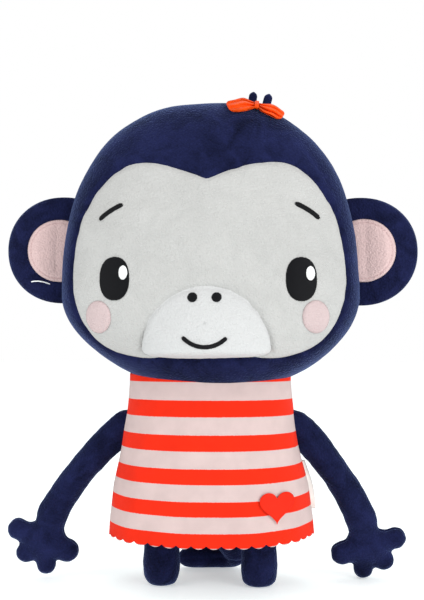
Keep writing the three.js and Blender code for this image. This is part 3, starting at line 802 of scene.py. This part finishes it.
# ---- Bow ----
# A length of orange satin ribbon folded into two loops, gathered and stitched at the middle, with
# two short navy tufts caught in the crown seam behind it.

BOW_MIDDLE = Vector((0.0378, 0, 0.3758))
BOW_CLEAR = 0.0062
BOW_LEAN = 1.2
CROWN_EDGE = 0.95
PLEAT = 0.0013
FINE_PLEAT = 0.0006
PLEAT_WAVES = 2.6 * math.pi
CREASE = {"depth": 0.0026, "place": -0.48, "width": 0.15}
GATHERED = 0.46


def cloth_material(name, colour, roughness, deep=0.86, light=1.1, weave=2600):
    """Close-woven cloth with a fine grain, a little uneven in tone."""
    material = new_material(name, {"Roughness": roughness, "Specular IOR Level": 0.1})
    place = add_node(material, "TexCoord", "Object")
    tone = add_node(material, "TexNoise", "Fac", {"Vector": place, "Scale": 90, "Detail": 4})
    grain = add_node(material, "TexNoise", "Fac", {"Vector": place, "Scale": weave})
    dark, pale = [c * deep for c in colour], [c * light for c in colour]
    return surface(material, shades(material, tone, dark, pale, (0.35, 0.65)), grain, 0.3, 0.0002)


ribbon = cloth_material("orange satin ribbon", (0.76, 0.068, 0.004), 0.42, deep=0.75, light=1.15)


def bow_lie(x, z):
    """The head's cloth behind a point of the bow; past the crown it is carried straight on."""
    inside = min(1, CROWN_EDGE / head_spread(x, z))
    on_x, on_z = x * inside, HEAD_Z + (z - HEAD_Z) * inside
    return float(front_y(on_x, on_z)) + BOW_LEAN * math.hypot(x - on_x, z - on_z)


def ribbon_loop(name, direction, length, width, depth, slant, arch, seed):
    """One loop: out along the front, round a soft fold and back behind, pleated from the middle out.
    Its end is cut on a slant and its back arched, as the ribbon was pulled."""
    out = Vector(direction).normalized()
    up = Vector((-out.z, 0, out.x)) if out.x > 0 else Vector((out.z, 0, -out.x))
    along, across = 40, 37
    turns = np.random.default_rng(seed).uniform(0, 2 * math.pi, 3)
    grid = []
    for i in range(along + 1):
        swing = math.cos(math.pi * i / along)
        share = math.sqrt(max(0, 1 - swing * swing)) ** 1.15
        spread = min(1, share / 0.5)
        spread = spread * spread * (3 - 2 * spread)
        half = width / 2 * (GATHERED + (1 - GATHERED) * spread) * (1 - 0.12 * max(0, share - 0.5) / 0.5)
        belly = depth * math.sqrt(max(0, 1 - share**2.6)) * min(1, 0.25 + share / 0.4)
        for j in range(across):
            v = 2 * j / (across - 1) - 1
            travel = length * share * (1 - 0.13 * v**4) + slant * v * share
            pleat = PLEAT * math.cos(PLEAT_WAVES * v + turns[0])
            pleat += FINE_PLEAT * math.cos(2 * PLEAT_WAVES * v + turns[1])
            crease = CREASE["depth"] * math.exp(-(((v - CREASE["place"]) / CREASE["width"]) ** 2))
            fold = (pleat - crease) * (1 - 0.45 * share)
            rounded = math.sqrt(1 - 0.75 * v * v)
            bend = arch * math.sin(math.pi * min(1, share)) + 0.0004 * math.sin(9 * share + turns[2])
            front = -math.copysign(belly * rounded + fold * min(1, abs(swing) * 3), swing)
            point = BOW_MIDDLE + out * (0.0010 + travel) + up * (v * half + bend)
            point.y = bow_lie(point.x, point.z) - BOW_CLEAR + front
            grid.append(point)
    piece = make_object(name, np.array([tuple(p) for p in grid]), grid_faces(along + 1, across, False))
    add_modifier(piece, "SOLIDIFY", thickness=0.0006, offset=0)
    add_modifier(piece, "SUBSURF", levels=1, render_levels=1)
    return bake(piece)


left_loop = ribbon_loop("bow_loop_left", (-1, 0, -0.13), 0.0215, 0.0132, 0.0044, 0.0016, 0.0010, 31)
finish(left_loop, ribbon, "head", ["bow_left_loop"])
right_loop = ribbon_loop("bow_loop_right", (1, 0, -0.43), 0.0212, 0.0108, 0.0044, 0.0002, 0.0004, 32)
finish(right_loop, ribbon, "head", ["bow_right_loop"])


def bow_binding():
    """A narrow turn of the same ribbon round the gathers."""
    around, across = 28, 9
    rows = []
    for i in range(around):
        angle = 2 * math.pi * i / around
        row = []
        for j in range(across):
            v = 2 * j / (across - 1) - 1
            radius = 1 + 0.12 * (1 - v * v) + 0.05 * math.cos(9 * v)
            y = 0.0050 * radius * math.cos(angle)
            z = 0.0036 * radius * math.sin(angle)
            ground = bow_lie(BOW_MIDDLE.x, BOW_MIDDLE.z + z) - BOW_CLEAR
            row.append((BOW_MIDDLE.x + 0.0016 * v, ground + y, BOW_MIDDLE.z + z))
        rows.append(row)
    grid = np.array(rows).reshape(-1, 3)
    faces = grid_faces(around, across, False)
    for j in range(across - 1):
        a, b = (around - 1) * across + j, j
        faces.append([a, a + 1, b + 1, b])
    piece = make_object("bow_binding", grid, faces)
    add_modifier(piece, "SOLIDIFY", thickness=0.0005, offset=0)
    add_modifier(piece, "SUBSURF", levels=1, render_levels=1)
    return bake(piece)


finish(bow_binding(), ribbon, "head", ["bow_knot"])


def loft(name, rings, around=32, power=2.0):
    """A closed skin through rings of (centre, u, v), with u and v their half widths."""
    angle = np.linspace(0, 2 * math.pi, around, endpoint=False)
    cos, sin = np.cos(angle), np.sin(angle)
    across = np.sign(cos) * np.abs(cos) ** (2 / power)
    through = np.sign(sin) * np.abs(sin) ** (2 / power)
    rows = [np.array(c) + np.outer(across, u) + np.outer(through, v) for c, u, v in rings]
    grid = np.stack(rows)
    verts = np.vstack([grid.reshape(-1, 3), grid[0].mean(0), grid[-1].mean(0)])
    faces = grid_faces(len(rings), around, True)
    first, last = len(verts) - 2, len(verts) - 1
    offset = (len(rings) - 1) * around
    for column in range(around):
        beside = (column + 1) % around
        faces.append([beside, column, first])
        faces.append([offset + column, offset + beside, last])
    piece = make_object(name, verts, faces)
    volume = sum(
        Vector(verts[f[0]]).dot(Vector(verts[f[1]]).cross(Vector(verts[f[2]]))) for f in faces
    )
    if volume < 0:
        piece.data.flip_normals()
    return piece


def tuft(name, root, tip, radius):
    """A short, round-ended finger of plush."""
    root, tip = Vector(root), Vector(tip)
    out = (tip - root).normalized()
    u = Vector((0, 1, 0)).cross(out).normalized()
    v = out.cross(u)
    length = (tip - root).length
    rings = []
    for share in np.linspace(0, 1, 14):
        round_off = math.sqrt(max(0.02, 1 - max(0, (share * length - length + radius) / radius) ** 2))
        size = radius * round_off
        rings.append((root + out * (share * length), u * size, v * size))
    piece = loft(name, rings, 20)
    add_modifier(piece, "SUBSURF", levels=1, render_levels=1)
    return bake(piece)


left_tuft = tuft("crown_tuft_left", (0.0318, -0.004, 0.371), (0.0350, -0.005, 0.3914), 0.0034)
finish(left_tuft, navy_plush, "head", ["left_tuft"])
right_tuft = tuft("crown_tuft_right", (0.0418, -0.004, 0.369), (0.0474, -0.005, 0.3896), 0.0035)
finish(right_tuft, navy_plush, "head", ["right_tuft"])


# ---- Body ----
# A navy plush bag in two panels, sewn up the sides and across the seat, filled firmly and sewn to
# the head all round a wide neck. The dress hides all of it but the armholes and the seat.

BODY_ROWS = [
    (0.166, 0.0613, 0.035, 0.035),
    (0.150, 0.0623, 0.042, 0.042),
    (0.135, 0.0630, 0.047, 0.047),
    (0.109, 0.0665, 0.052, 0.053),
    (0.088, 0.0685, 0.053, 0.054),
    (0.070, 0.0675, 0.049, 0.051),
    (0.058, 0.062, 0.043, 0.045),
    (0.052, 0.050, 0.033, 0.036),
]
BODY_SQUARENESS = 2.4
BODY_TOP = 0.164
BODY_SEAT = 0.052
SEAT_SAG = 0.0025
SIDE_SEAM = {"depth": 0.02, "reach": 0.02}


def row_at(rows, z):
    """Half width, front depth and back depth at a height, straight between the rows."""
    heights = [row[0] for row in rows][::-1]
    return [np.interp(z, heights, [row[i] for row in rows][::-1]) for i in (1, 2, 3)]


def body_point(rows, z, angle, power=BODY_SQUARENESS):
    """A point of the skin at a height and an angle round the body."""
    width, front, back = row_at(rows, z)
    cos, sin = math.cos(angle), math.sin(angle)
    x = width * math.copysign(abs(cos) ** (2 / power), cos)
    y = (back if sin > 0 else front) * math.copysign(abs(sin) ** (2 / power), sin)
    return np.array((x, y, z))


def body_half(name, forward):
    """The front or back panel: drawn in at its side seams, and gathered under to close the seat."""
    columns = 72
    heights = np.linspace(BODY_TOP, BODY_SEAT, 40)
    rows = []
    for z in heights:
        row = []
        for share in np.linspace(0, 1, columns):
            angle = forward * math.pi * share
            point = body_point(BODY_ROWS, z, angle)
            edge = min(share, 1 - share)
            point[:2] *= 1 - SIDE_SEAM["depth"] * math.exp(-((edge / SIDE_SEAM["reach"]) ** 2))
            row.append(point)
        rows.append(row)
    seat = rows[-1]
    for shrink in (0.8, 0.55, 0.3, 0.05):
        sunk = BODY_SEAT - SEAT_SAG * (1 - shrink)
        rows.append([np.array((p[0] * shrink, p[1] * shrink, sunk)) for p in seat])
    grid = np.array(rows).reshape(-1, 3)
    piece = make_object(name, grid, grid_faces(len(rows), columns, False, flip=forward > 0))
    add_modifier(piece, "SOLIDIFY", thickness=CLOTH_THICK, offset=-1)
    return bake(piece)


neck_bend = ("torso", "head", (0, 0, 0.149), (0, 0, 0.163))
for forward, word in ((-1, "front"), (1, "back")):
    panel = body_half(f"body_{word}", forward)
    replaced = [f"torso_{word}_panel"] + (["torso_stuffing"] if word == "front" else [])
    finish(panel, navy_plush, neck_bend, replaced)


# ---- Dress ----
# A sleeveless A-line dress of printed jersey: a front and a back panel, sewn up the sides around the
# arms and caught in the neck seam, with a scalloped, hot-cut hem that needs no turning.

DRESS_ROWS = [
    (0.170, 0.0640, 0.036, 0.036),
    (0.160, 0.0642, 0.040, 0.040),
    (0.150, 0.0648, 0.045, 0.045),
    (0.135, 0.0660, 0.0505, 0.050),
    (0.109, 0.0700, 0.0555, 0.056),
    (0.078, 0.0765, 0.0575, 0.060),
    (0.052, 0.0798, 0.0570, 0.0615),
    (0.036, 0.0808, 0.0560, 0.062),
]
DRESS_TOP = 0.1665
DRESS_HEM = 0.0407
STRIPE_BASE = 0.0440
STRIPE_STEP = 0.0229
STRIPE_DRIFT = 0.00035
SCALLOP_PITCH = 0.0115
SCALLOP_DEPTH = 0.0028
ARMHOLE_LOW = 0.096
ARMHOLE_HIGH = 0.146
ARMHOLE_BACK = 0.10
ARMHOLE_FRONT = 0.010
SKIRT_RISE = 0.0034
SKIRT_HALF = 0.080
SKIRT_TOP = 0.130
WALE = 0.0009
COURSE = 0.0007
PRINT_EDGE = (0.245, 0.232)


def dress_point(z, angle):
    """The cloth, with two or three shallow folds that deepen towards the hem."""
    point = body_point(DRESS_ROWS, z, angle)
    fall = max(0, (0.11 - z) / 0.08)
    fold = 0.0011 * fall * math.sin(5 * angle + 0.8) + 0.0007 * fall * math.sin(11 * angle + 2.1)
    fold += 0.0006 * noise.noise(Vector((3 * math.cos(angle), 3 * math.sin(angle), z / 0.03)))
    out = np.array((math.cos(angle), math.sin(angle), 0))
    return point + out * fold


def armhole_gap(z):
    """How much of an armhole's full depth a panel's edge is cut back at a height, from 0 to 1."""
    middle = (ARMHOLE_LOW + ARMHOLE_HIGH) / 2
    half = (ARMHOLE_HIGH - ARMHOLE_LOW) / 2
    return math.sqrt(max(0, 1 - ((z - middle) / half) ** 2))


def side_rise(x, z):
    """The skirt is cut flared, so that its stripes and hem turn up towards the side seams."""
    return SKIRT_RISE * (x / SKIRT_HALF) ** 2 * min(1, max(0, (SKIRT_TOP - z) / 0.085))


def stripe_number(z):
    """Which stripe a height of the flat cloth is in: the hem's is 0, and they get wider upwards."""
    rise = STRIPE_STEP**2 + 4 * STRIPE_DRIFT * (z - STRIPE_BASE)
    return (math.sqrt(max(0, rise)) - STRIPE_STEP) / (2 * STRIPE_DRIFT)


def dress_panel(name, forward):
    """One panel, with each point's stripe and its place on the flat cloth, and the panel's hem width."""
    columns, rows_count = 340, 110
    turns = np.linspace(0, forward * math.pi, 721)
    hem_line = np.array([dress_point(DRESS_HEM, turn) for turn in turns])
    walked = np.concatenate([[0], np.cumsum(np.linalg.norm(np.diff(hem_line, axis=0), axis=1))])
    width = walked[-1]
    scallops = round(width / SCALLOP_PITCH)
    rows, stripe, cloth_u = [], [], []
    for i in range(rows_count):
        down = i / (rows_count - 1)
        row = []
        for j in range(columns):
            share = j / (columns - 1)
            hem = DRESS_HEM - SCALLOP_DEPTH * abs(math.sin(math.pi * scallops * share)) ** 0.7
            level = DRESS_TOP + down * (hem - DRESS_TOP)
            gap = armhole_gap(level) * (ARMHOLE_FRONT if forward < 0 else ARMHOLE_BACK)
            angle = np.interp((gap + share * (1 - 2 * gap)) * width, walked, turns)
            point = dress_point(level, angle)
            point[2] += side_rise(point[0], level)
            row.append(point)
            stripe.append(stripe_number(level))
            cloth_u.append(share * width)
        rows.append(row)
    grid = np.array(rows).reshape(-1, 3)
    piece = make_object(name, grid, grid_faces(rows_count, columns, False, flip=forward > 0))
    attribute = piece.data.attributes.new("stripe", "FLOAT", "POINT")
    attribute.data.foreach_set("value", stripe)
    layer = piece.data.uv_layers.new(name="cloth")
    for loop in piece.data.loops:
        layer.data[loop.index].uv = (cloth_u[loop.vertex_index], grid[loop.vertex_index][2])
    add_modifier(piece, "SOLIDIFY", thickness=0.0008, offset=-1)
    return bake(piece), width


ORANGE_PRINT = (0.78, 0.020, 0.002)
PINK_JERSEY = (0.585, 0.455, 0.440)


def striped_jersey():
    """Pink jersey printed with orange bands; the print sits a shade proud and smoother."""
    values = {"Roughness": 0.8, "Specular IOR Level": 0.15, "Sheen Weight": 0.03}
    material = new_material("striped jersey", values)
    nodes, links = material.node_tree.nodes, material.node_tree.links
    band = nodes.new("ShaderNodeAttribute")
    band.attribute_name = "stripe"
    cloth = nodes.new("ShaderNodeUVMap")
    cloth.uv_map = "cloth"
    uv = cloth.outputs["UV"]
    wander = add_node(material, "TexNoise", "Fac", {"Vector": uv, "Scale": 900})
    ragged = maths(material, "MULTIPLY", maths(material, "SUBTRACT", wander, 0.5), 0.03)
    place = maths(material, "ADD", maths(material, "ADD", band.outputs["Fac"], ragged), 0.5)
    off_centre = maths(material, "SUBTRACT", maths(material, "FRACT", place), 0.5)
    off_centre = maths(material, "ABSOLUTE", off_centre)
    edge = {"From Min": PRINT_EDGE[0], "From Max": PRINT_EDGE[1], "Value": off_centre}
    printed = add_node(material, "MapRange", "Result", edge)
    across = add_node(material, "SeparateXYZ", "X", {"Vector": uv})
    along = add_node(material, "SeparateXYZ", "Y", {"Vector": uv})
    wale = maths(material, "SINE", maths(material, "MULTIPLY", across, 2 * math.pi / WALE))
    course = maths(material, "SINE", maths(material, "MULTIPLY", along, 2 * math.pi / COURSE))
    knit = maths(material, "MULTIPLY", wale, course)
    tone = add_node(material, "TexNoise", "Fac", {"Vector": uv, "Scale": 60, "Detail": 5})
    # The knit's loops are painted a little lighter on their crowns and darker in their hollows, as painted
    # shade, over the random tone.
    shade = maths(material, "ADD", tone, maths(material, "MULTIPLY", knit, 0.12))
    mix = nodes.new("ShaderNodeMix")
    mix.data_type = "RGBA"
    links.new(printed, mix.inputs["Factor"])
    for socket, colour, deep, light in ((6, PINK_JERSEY, 0.93, 1.05), (7, ORANGE_PRINT, 0.92, 1.04)):
        dark, pale = [c * deep for c in colour], [c * light for c in colour]
        links.new(shades(material, shade, dark, pale, (0.3, 0.7)), mix.inputs[socket])
    relief = maths(material, "ADD", knit, maths(material, "MULTIPLY", printed, 0.5))
    return surface(material, mix.outputs[2], relief, 0.35, 0.00025)


jersey = striped_jersey()
for forward, word in ((-1, "front"), (1, "back")):
    panel, flat_width = dress_panel(f"dress_{word}", forward)
    finish(panel, jersey, neck_bend, [f"dress_{word}_panel"])

HEART_MIDDLE = (0.0525, 0.0685)
HEART_SIZE = 0.0128
HEART_CLEAR = 0.0012


def dress_front_y(x, z):
    """How far forward the dress front is at a place in the XZ plane."""
    width, front, _ = row_at(DRESS_ROWS, z)
    share = min(1, abs(x) / width)
    return -front * (1 - share**BODY_SQUARENESS) ** (1 / BODY_SQUARENESS)


def heart_patch():
    """A plain heart ironed on over the stripes: a thin flexible film with a soft edge."""
    around, rings = 96, 14
    rows = []
    for share in np.linspace(0.04, 1, rings):
        row = []
        for t in np.linspace(0, 2 * math.pi, around, endpoint=False):
            hx = math.sin(t) ** 3
            hz = (13 * math.cos(t) - 5 * math.cos(2 * t) - 2 * math.cos(3 * t) - math.cos(4 * t)) / 16
            x = HEART_MIDDLE[0] + HEART_SIZE * share * hx
            z = HEART_MIDDLE[1] + HEART_SIZE * share * (hz + 0.1)
            lift = 0.0010 - 0.0002 * share**8
            angle = math.atan2(dress_front_y(x, z), x)
            clear = HEART_CLEAR * abs(math.sin(angle))
            row.append((x, dress_front_y(x, z) - lift - clear, z))
        rows.append(row)
    grid = np.array(rows).reshape(-1, 3)
    faces = grid_faces(rings, around, True, flip=True)
    faces.append(list(range(around)))
    piece = make_object("heart", grid, faces)
    add_modifier(piece, "SOLIDIFY", thickness=0.0006, offset=-1)
    return bake(piece)


heart_film = cloth_material("ironed-on heart film", (0.74, 0.017, 0.003), 0.5, deep=0.95, light=1.04)
finish(heart_patch(), heart_film, "torso", ["heart_patch"])


LABEL_TOP = 0.098
LABEL_LENGTH = 0.038


def side_label():
    """A folded satin care label, left blank, caught in the right side seam."""
    rows = []
    for down in np.linspace(0, 1, 24):
        z = LABEL_TOP - LABEL_LENGTH * down
        edge = row_at(DRESS_ROWS, z)[0]
        row = []
        for out in np.linspace(0, 1, 10):
            x = edge - 0.001 + out * (0.0030 + 0.0028 * math.sin(2.2 * down))
            y = 0.0018 + 0.0045 * out * out * math.sin(3 * down + 0.4)
            row.append((x, y, z))
        rows.append(row)
    grid = np.array(rows).reshape(-1, 3)
    piece = make_object("care_label", grid, grid_faces(24, 10, False))
    add_modifier(piece, "SOLIDIFY", thickness=0.0006, offset=0)
    return bake(piece)


label_tape = cloth_material("satin label tape", (0.80, 0.74, 0.70), 0.5)
finish(side_label(), label_tape, "torso", ["side_label"])


# ---- Arms ----
# Each is a long plush tube in two panels that ends in a four-lobed hand, filled to the wrist and
# softer at the root, where it is sewn into the side seam.

JOINT_AT = {joint["name"]: Vector(joint["pos_m"]) for joint in frame["joints"]}
ARM_SPLAY = {"left": 39.5, "right": 33.5}
ARM_BACK = {"left": 6, "right": 13}
ARM_ROWS = [
    (-0.020, -0.0075, 0.0030, 0.0030),
    (-0.017, -0.0065, 0.0085, 0.0070),
    (-0.008, -0.0030, 0.0125, 0.0090),
    (0.008, -0.0006, 0.0134, 0.0098),
    (0.027, 0.0018, 0.0124, 0.0108),
    (0.045, 0.0025, 0.0120, 0.0114),
    (0.062, 0.0018, 0.0122, 0.0112),
    (0.080, 0.0002, 0.0128, 0.0108),
    (0.094, -0.0025, 0.0136, 0.0102),
    (0.108, -0.0082, 0.0130, 0.0090),
]
PALM_ALONG = 0.1128
PALM_OUT = -0.0102
PALM = (0.0180, 0.0112)
FINGERS = [
    (0.1190, 0.0122, 0.0092),
    (0.1300, -0.0052, 0.0088),
    (0.1270, -0.0235, 0.0083),
    (0.1072, -0.0300, 0.0099),
]
FINGER_THICK = 0.0085
TAB_ROWS = ((-1, 0.7), (-0.93, 0.95), (-0.6, 1), (0, 1), (0.6, 1), (0.93, 0.95), (1, 0.7))


def ball(centre, radius, thick, around=24, layers=12):
    """A filled lobe, round in the XZ plane and flatter through."""
    centre = np.array(centre)
    rings = []
    for height in np.linspace(-0.999, 0.999, layers):
        size = radius * math.sqrt(1 - height * height)
        middle = centre + (0, thick * height, 0)
        rings.append((middle, np.array((size, 0, 0)), np.array((0, 0, size))))
    return loft("lobe", rings, around)


def join_skins(name, parts, voxel, rounds):
    """One skin round several overlapping forms."""
    bpy.context.view_layer.update()
    piece = parts[0]
    with bpy.context.temp_override(active_object=piece, object=piece, selected_editable_objects=parts):
        bpy.ops.object.join()
    piece.name = name
    piece.data.name = name
    add_modifier(piece, "REMESH", mode="VOXEL", voxel_size=voxel)
    add_modifier(piece, "SMOOTH", factor=0.5, iterations=rounds)
    return bake(piece)


def fill_out(piece, cap, pressure=4.0, frames=20):
    """Fills a skin like the real one: cloth under inner pressure, kept within a cap of its cut."""
    start = np.array([v.co for v in piece.data.vertices])
    modifier = add_modifier(piece, "CLOTH")
    settings = modifier.settings
    settings.quality = 6
    settings.mass = 0.3
    settings.tension_stiffness = 18
    settings.compression_stiffness = 18
    settings.shear_stiffness = 6
    settings.bending_stiffness = 0.4
    settings.use_pressure = True
    settings.uniform_pressure_force = pressure
    settings.effector_weights.gravity = 0
    modifier.collision_settings.use_collision = False
    modifier.point_cache.frame_start = 1
    modifier.point_cache.frame_end = frames
    scene = bpy.context.scene
    for step in range(1, frames + 1):
        scene.frame_set(step)
    graph = bpy.context.evaluated_depsgraph_get()
    moved = np.array([v.co for v in piece.evaluated_get(graph).data.vertices])
    piece.modifiers.clear()
    scene.frame_set(1)
    shift = moved - start
    length = np.linalg.norm(shift, axis=1, keepdims=True)
    shift *= np.minimum(1, cap / np.maximum(length, 1e-9))
    piece.data.vertices.foreach_set("co", (start + shift).ravel())
    piece.data.update()
    return piece


def pinch_seam(piece, level, depth, width, seed, wrinkle=0.0005):
    """Draws a skin in along the seam where level(point) is 0, crumples it there and shades it smooth."""
    count = len(piece.data.vertices)
    points = np.array([v.co for v in piece.data.vertices])
    normals = np.array([v.normal for v in piece.data.vertices])
    away = np.abs(np.array([level(p) for p in points]))
    crumple = lumps(points, 0.006, seed) * wrinkle * np.exp(-away / 0.010)
    swell = lumps(points, 0.018, seed + 1) * 0.0006
    shift = crumple + swell - depth * np.exp(-((away / width) ** 2))
    piece.data.vertices.foreach_set("co", (points + normals * shift.reshape(count, 1)).ravel())
    piece.data.polygons.foreach_set("use_smooth", [True] * len(piece.data.polygons))
    piece.data.update()


def stuff_and_sew(piece, cap, level, seam_depth, seed):
    """Fills a joined skin, rounds it off and pulls its seam in."""
    fill_out(piece, cap)
    add_modifier(piece, "SUBSURF", levels=1, render_levels=1)
    bake(piece)
    pinch_seam(piece, level, seam_depth, 0.0013, seed)


def press_flat(piece, height):
    """Flattens the underside of a filled skin where it stands or lies on something."""
    points = np.array([v.co for v in piece.data.vertices])
    points[:, 2] = np.maximum(points[:, 2], height)
    piece.data.vertices.foreach_set("co", points.ravel())


def arm_skin(name, hand):
    """Tube, palm and fingers in one skin, straight down from the shoulder, to be turned into place."""
    rings = []
    for along, bow, width, thick in ARM_ROWS:
        centre = np.array((hand * bow, 0, -along))
        rings.append((centre, np.array((width, 0, 0)), np.array((0, thick, 0))))
    palm_middle = np.array((hand * PALM_OUT, 0, -PALM_ALONG))
    parts = [loft("tube", rings, 32), ball(palm_middle, *PALM)]
    for along, out, radius in FINGERS:
        tip = np.array((hand * out, 0, -along))
        parts.append(ball(tip, radius, FINGER_THICK))
        parts.append(ball(palm_middle + 0.62 * (tip - palm_middle), radius * 1.02, FINGER_THICK * 1.05))
    piece = join_skins(name, parts, 0.0022, 3)
    stuff_and_sew(piece, 0.0016, lambda p: p[1], 0.0011, 40 + hand)
    return piece


for side, hand in (("left", -1), ("right", 1)):
    arm = arm_skin(f"{side}_arm_skin", hand)
    splay = Matrix.Rotation(math.radians(-hand * ARM_SPLAY[side]), 4, "Y")
    lean = Matrix.Rotation(math.radians(ARM_BACK[side]), 4, "X")
    arm.data.transform(Matrix.Translation(JOINT_AT[f"{side}_arm_raise"]) @ lean @ splay)
    nodes_hidden = [f"{side}_arm_front_panel", f"{side}_arm_back_panel", f"{side}_arm_stuffing"]
    finish(arm, navy_plush, f"{side}_arm", nodes_hidden)
    tab_low, tab_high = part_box(f"{side}_arm_tab")
    tab_middle = (np.array(tab_low) + np.array(tab_high)) / 2
    tab_half = (np.array(tab_high) - np.array(tab_low)) / 2
    rings = []
    for height, size in TAB_ROWS:
        width, thick = tab_half[:2] * size
        centre = tab_middle + (0, 0, tab_half[2] * height)
        rings.append((centre, np.array((width, 0, 0)), np.array((0, thick, 0))))
    tab = loft(f"{side}_arm_tab_cloth", rings, 24, 5)
    finish(tab, navy_plush, f"{side}_arm_root", [f"{side}_arm_tab"])


# ---- Legs ----
# Short plush stubs, each two panels and filling, flat enough underneath to stand on.

LEG_X = 0.0385
LEG_Y = -0.003
LEG_FLATTER = 0.95
SOLE_HEIGHT = 0.0002
LEG_ROWS = [
    (0.0002, 0.0085),
    (0.0012, 0.0108),
    (0.004, 0.0130),
    (0.009, 0.0144),
    (0.018, 0.0148),
    (0.030, 0.0143),
    (0.040, 0.0140),
    (0.050, 0.0120),
    (0.056, 0.0070),
]
for side, hand in (("left", -1), ("right", 1)):
    rings = [
        (np.array((hand * LEG_X, LEG_Y, z)), np.array((r, 0, 0)), np.array((0, r * LEG_FLATTER, 0)))
        for z, r in LEG_ROWS
    ]
    leg = join_skins(f"{side}_leg_skin", [loft("stub", rings, 40)], 0.0022, 2)
    stuff_and_sew(leg, 0.0008, lambda p: p[1] - LEG_Y, 0.0010, 50 + hand)
    press_flat(leg, SOLE_HEIGHT)
    nodes_hidden = [f"{side}_leg_front_panel", f"{side}_leg_back_panel", f"{side}_leg_stuffing"]
    finish(leg, navy_plush, f"{side}_leg", nodes_hidden)


# ---- Tail ----
# A filled plush tube sewn into the seat, that comes down behind the legs and curls on the floor.

TAIL_PATH = [
    (0.004, 0.030, 0.056),
    (0.006, 0.0315, 0.040),
    (0.012, 0.038, 0.025),
    (0.018, 0.048, 0.0140),
    (0.012, 0.057, 0.0100),
    (-0.002, 0.0585, 0.0094),
    (-0.017, 0.056, 0.0094),
    (-0.030, 0.0495, 0.0094),
]
TAIL_RADIUS = 0.0092
TAIL_TIP = 0.13
TAIL_SEAM = 0.0094
TAIL_UNDERSIDE = 0.0003


def smooth_path(points, steps):
    """A Catmull-Rom curve through points, evenly enough spaced for a tube."""
    points = [np.array(p) for p in points]
    ends = [2 * points[0] - points[1], *points, 2 * points[-1] - points[-2]]
    path = []
    for i in range(1, len(ends) - 2):
        a, b, c, d = ends[i - 1 : i + 3]
        bend, twist = 2 * a - 5 * b + 4 * c - d, 3 * b - a - 3 * c + d
        for t in np.linspace(0, 1, steps, endpoint=False):
            path.append(0.5 * (2 * b + (c - a) * t + bend * t**2 + twist * t**3))
    path.append(points[-1])
    return np.array(path)


tail_line = smooth_path(TAIL_PATH, 8)
tail_way = np.gradient(tail_line, axis=0)
tail_rings = []
for i, (centre, way) in enumerate(zip(tail_line, tail_way)):
    share = i / (len(tail_line) - 1)
    way = way / np.linalg.norm(way)
    u = np.cross((1, 0, -1), way)
    u /= np.linalg.norm(u)
    tip = math.sqrt(max(0.03, 1 - max(0, (share - 1 + TAIL_TIP) / TAIL_TIP) ** 2))
    tail_rings.append((centre, u * TAIL_RADIUS * tip, np.cross(way, u) * TAIL_RADIUS * tip))
tail = join_skins("tail_skin", [loft("tail_tube", tail_rings, 28)], 0.0022, 2)
stuff_and_sew(tail, 0.0008, lambda p: p[2] - TAIL_SEAM, 0.0009, 60)
press_flat(tail, TAIL_UNDERSIDE)
tail_nodes = ["tail_upper_panel", "tail_lower_panel", "tail_stuffing"]
finish(tail, navy_plush, "tail", tail_nodes)
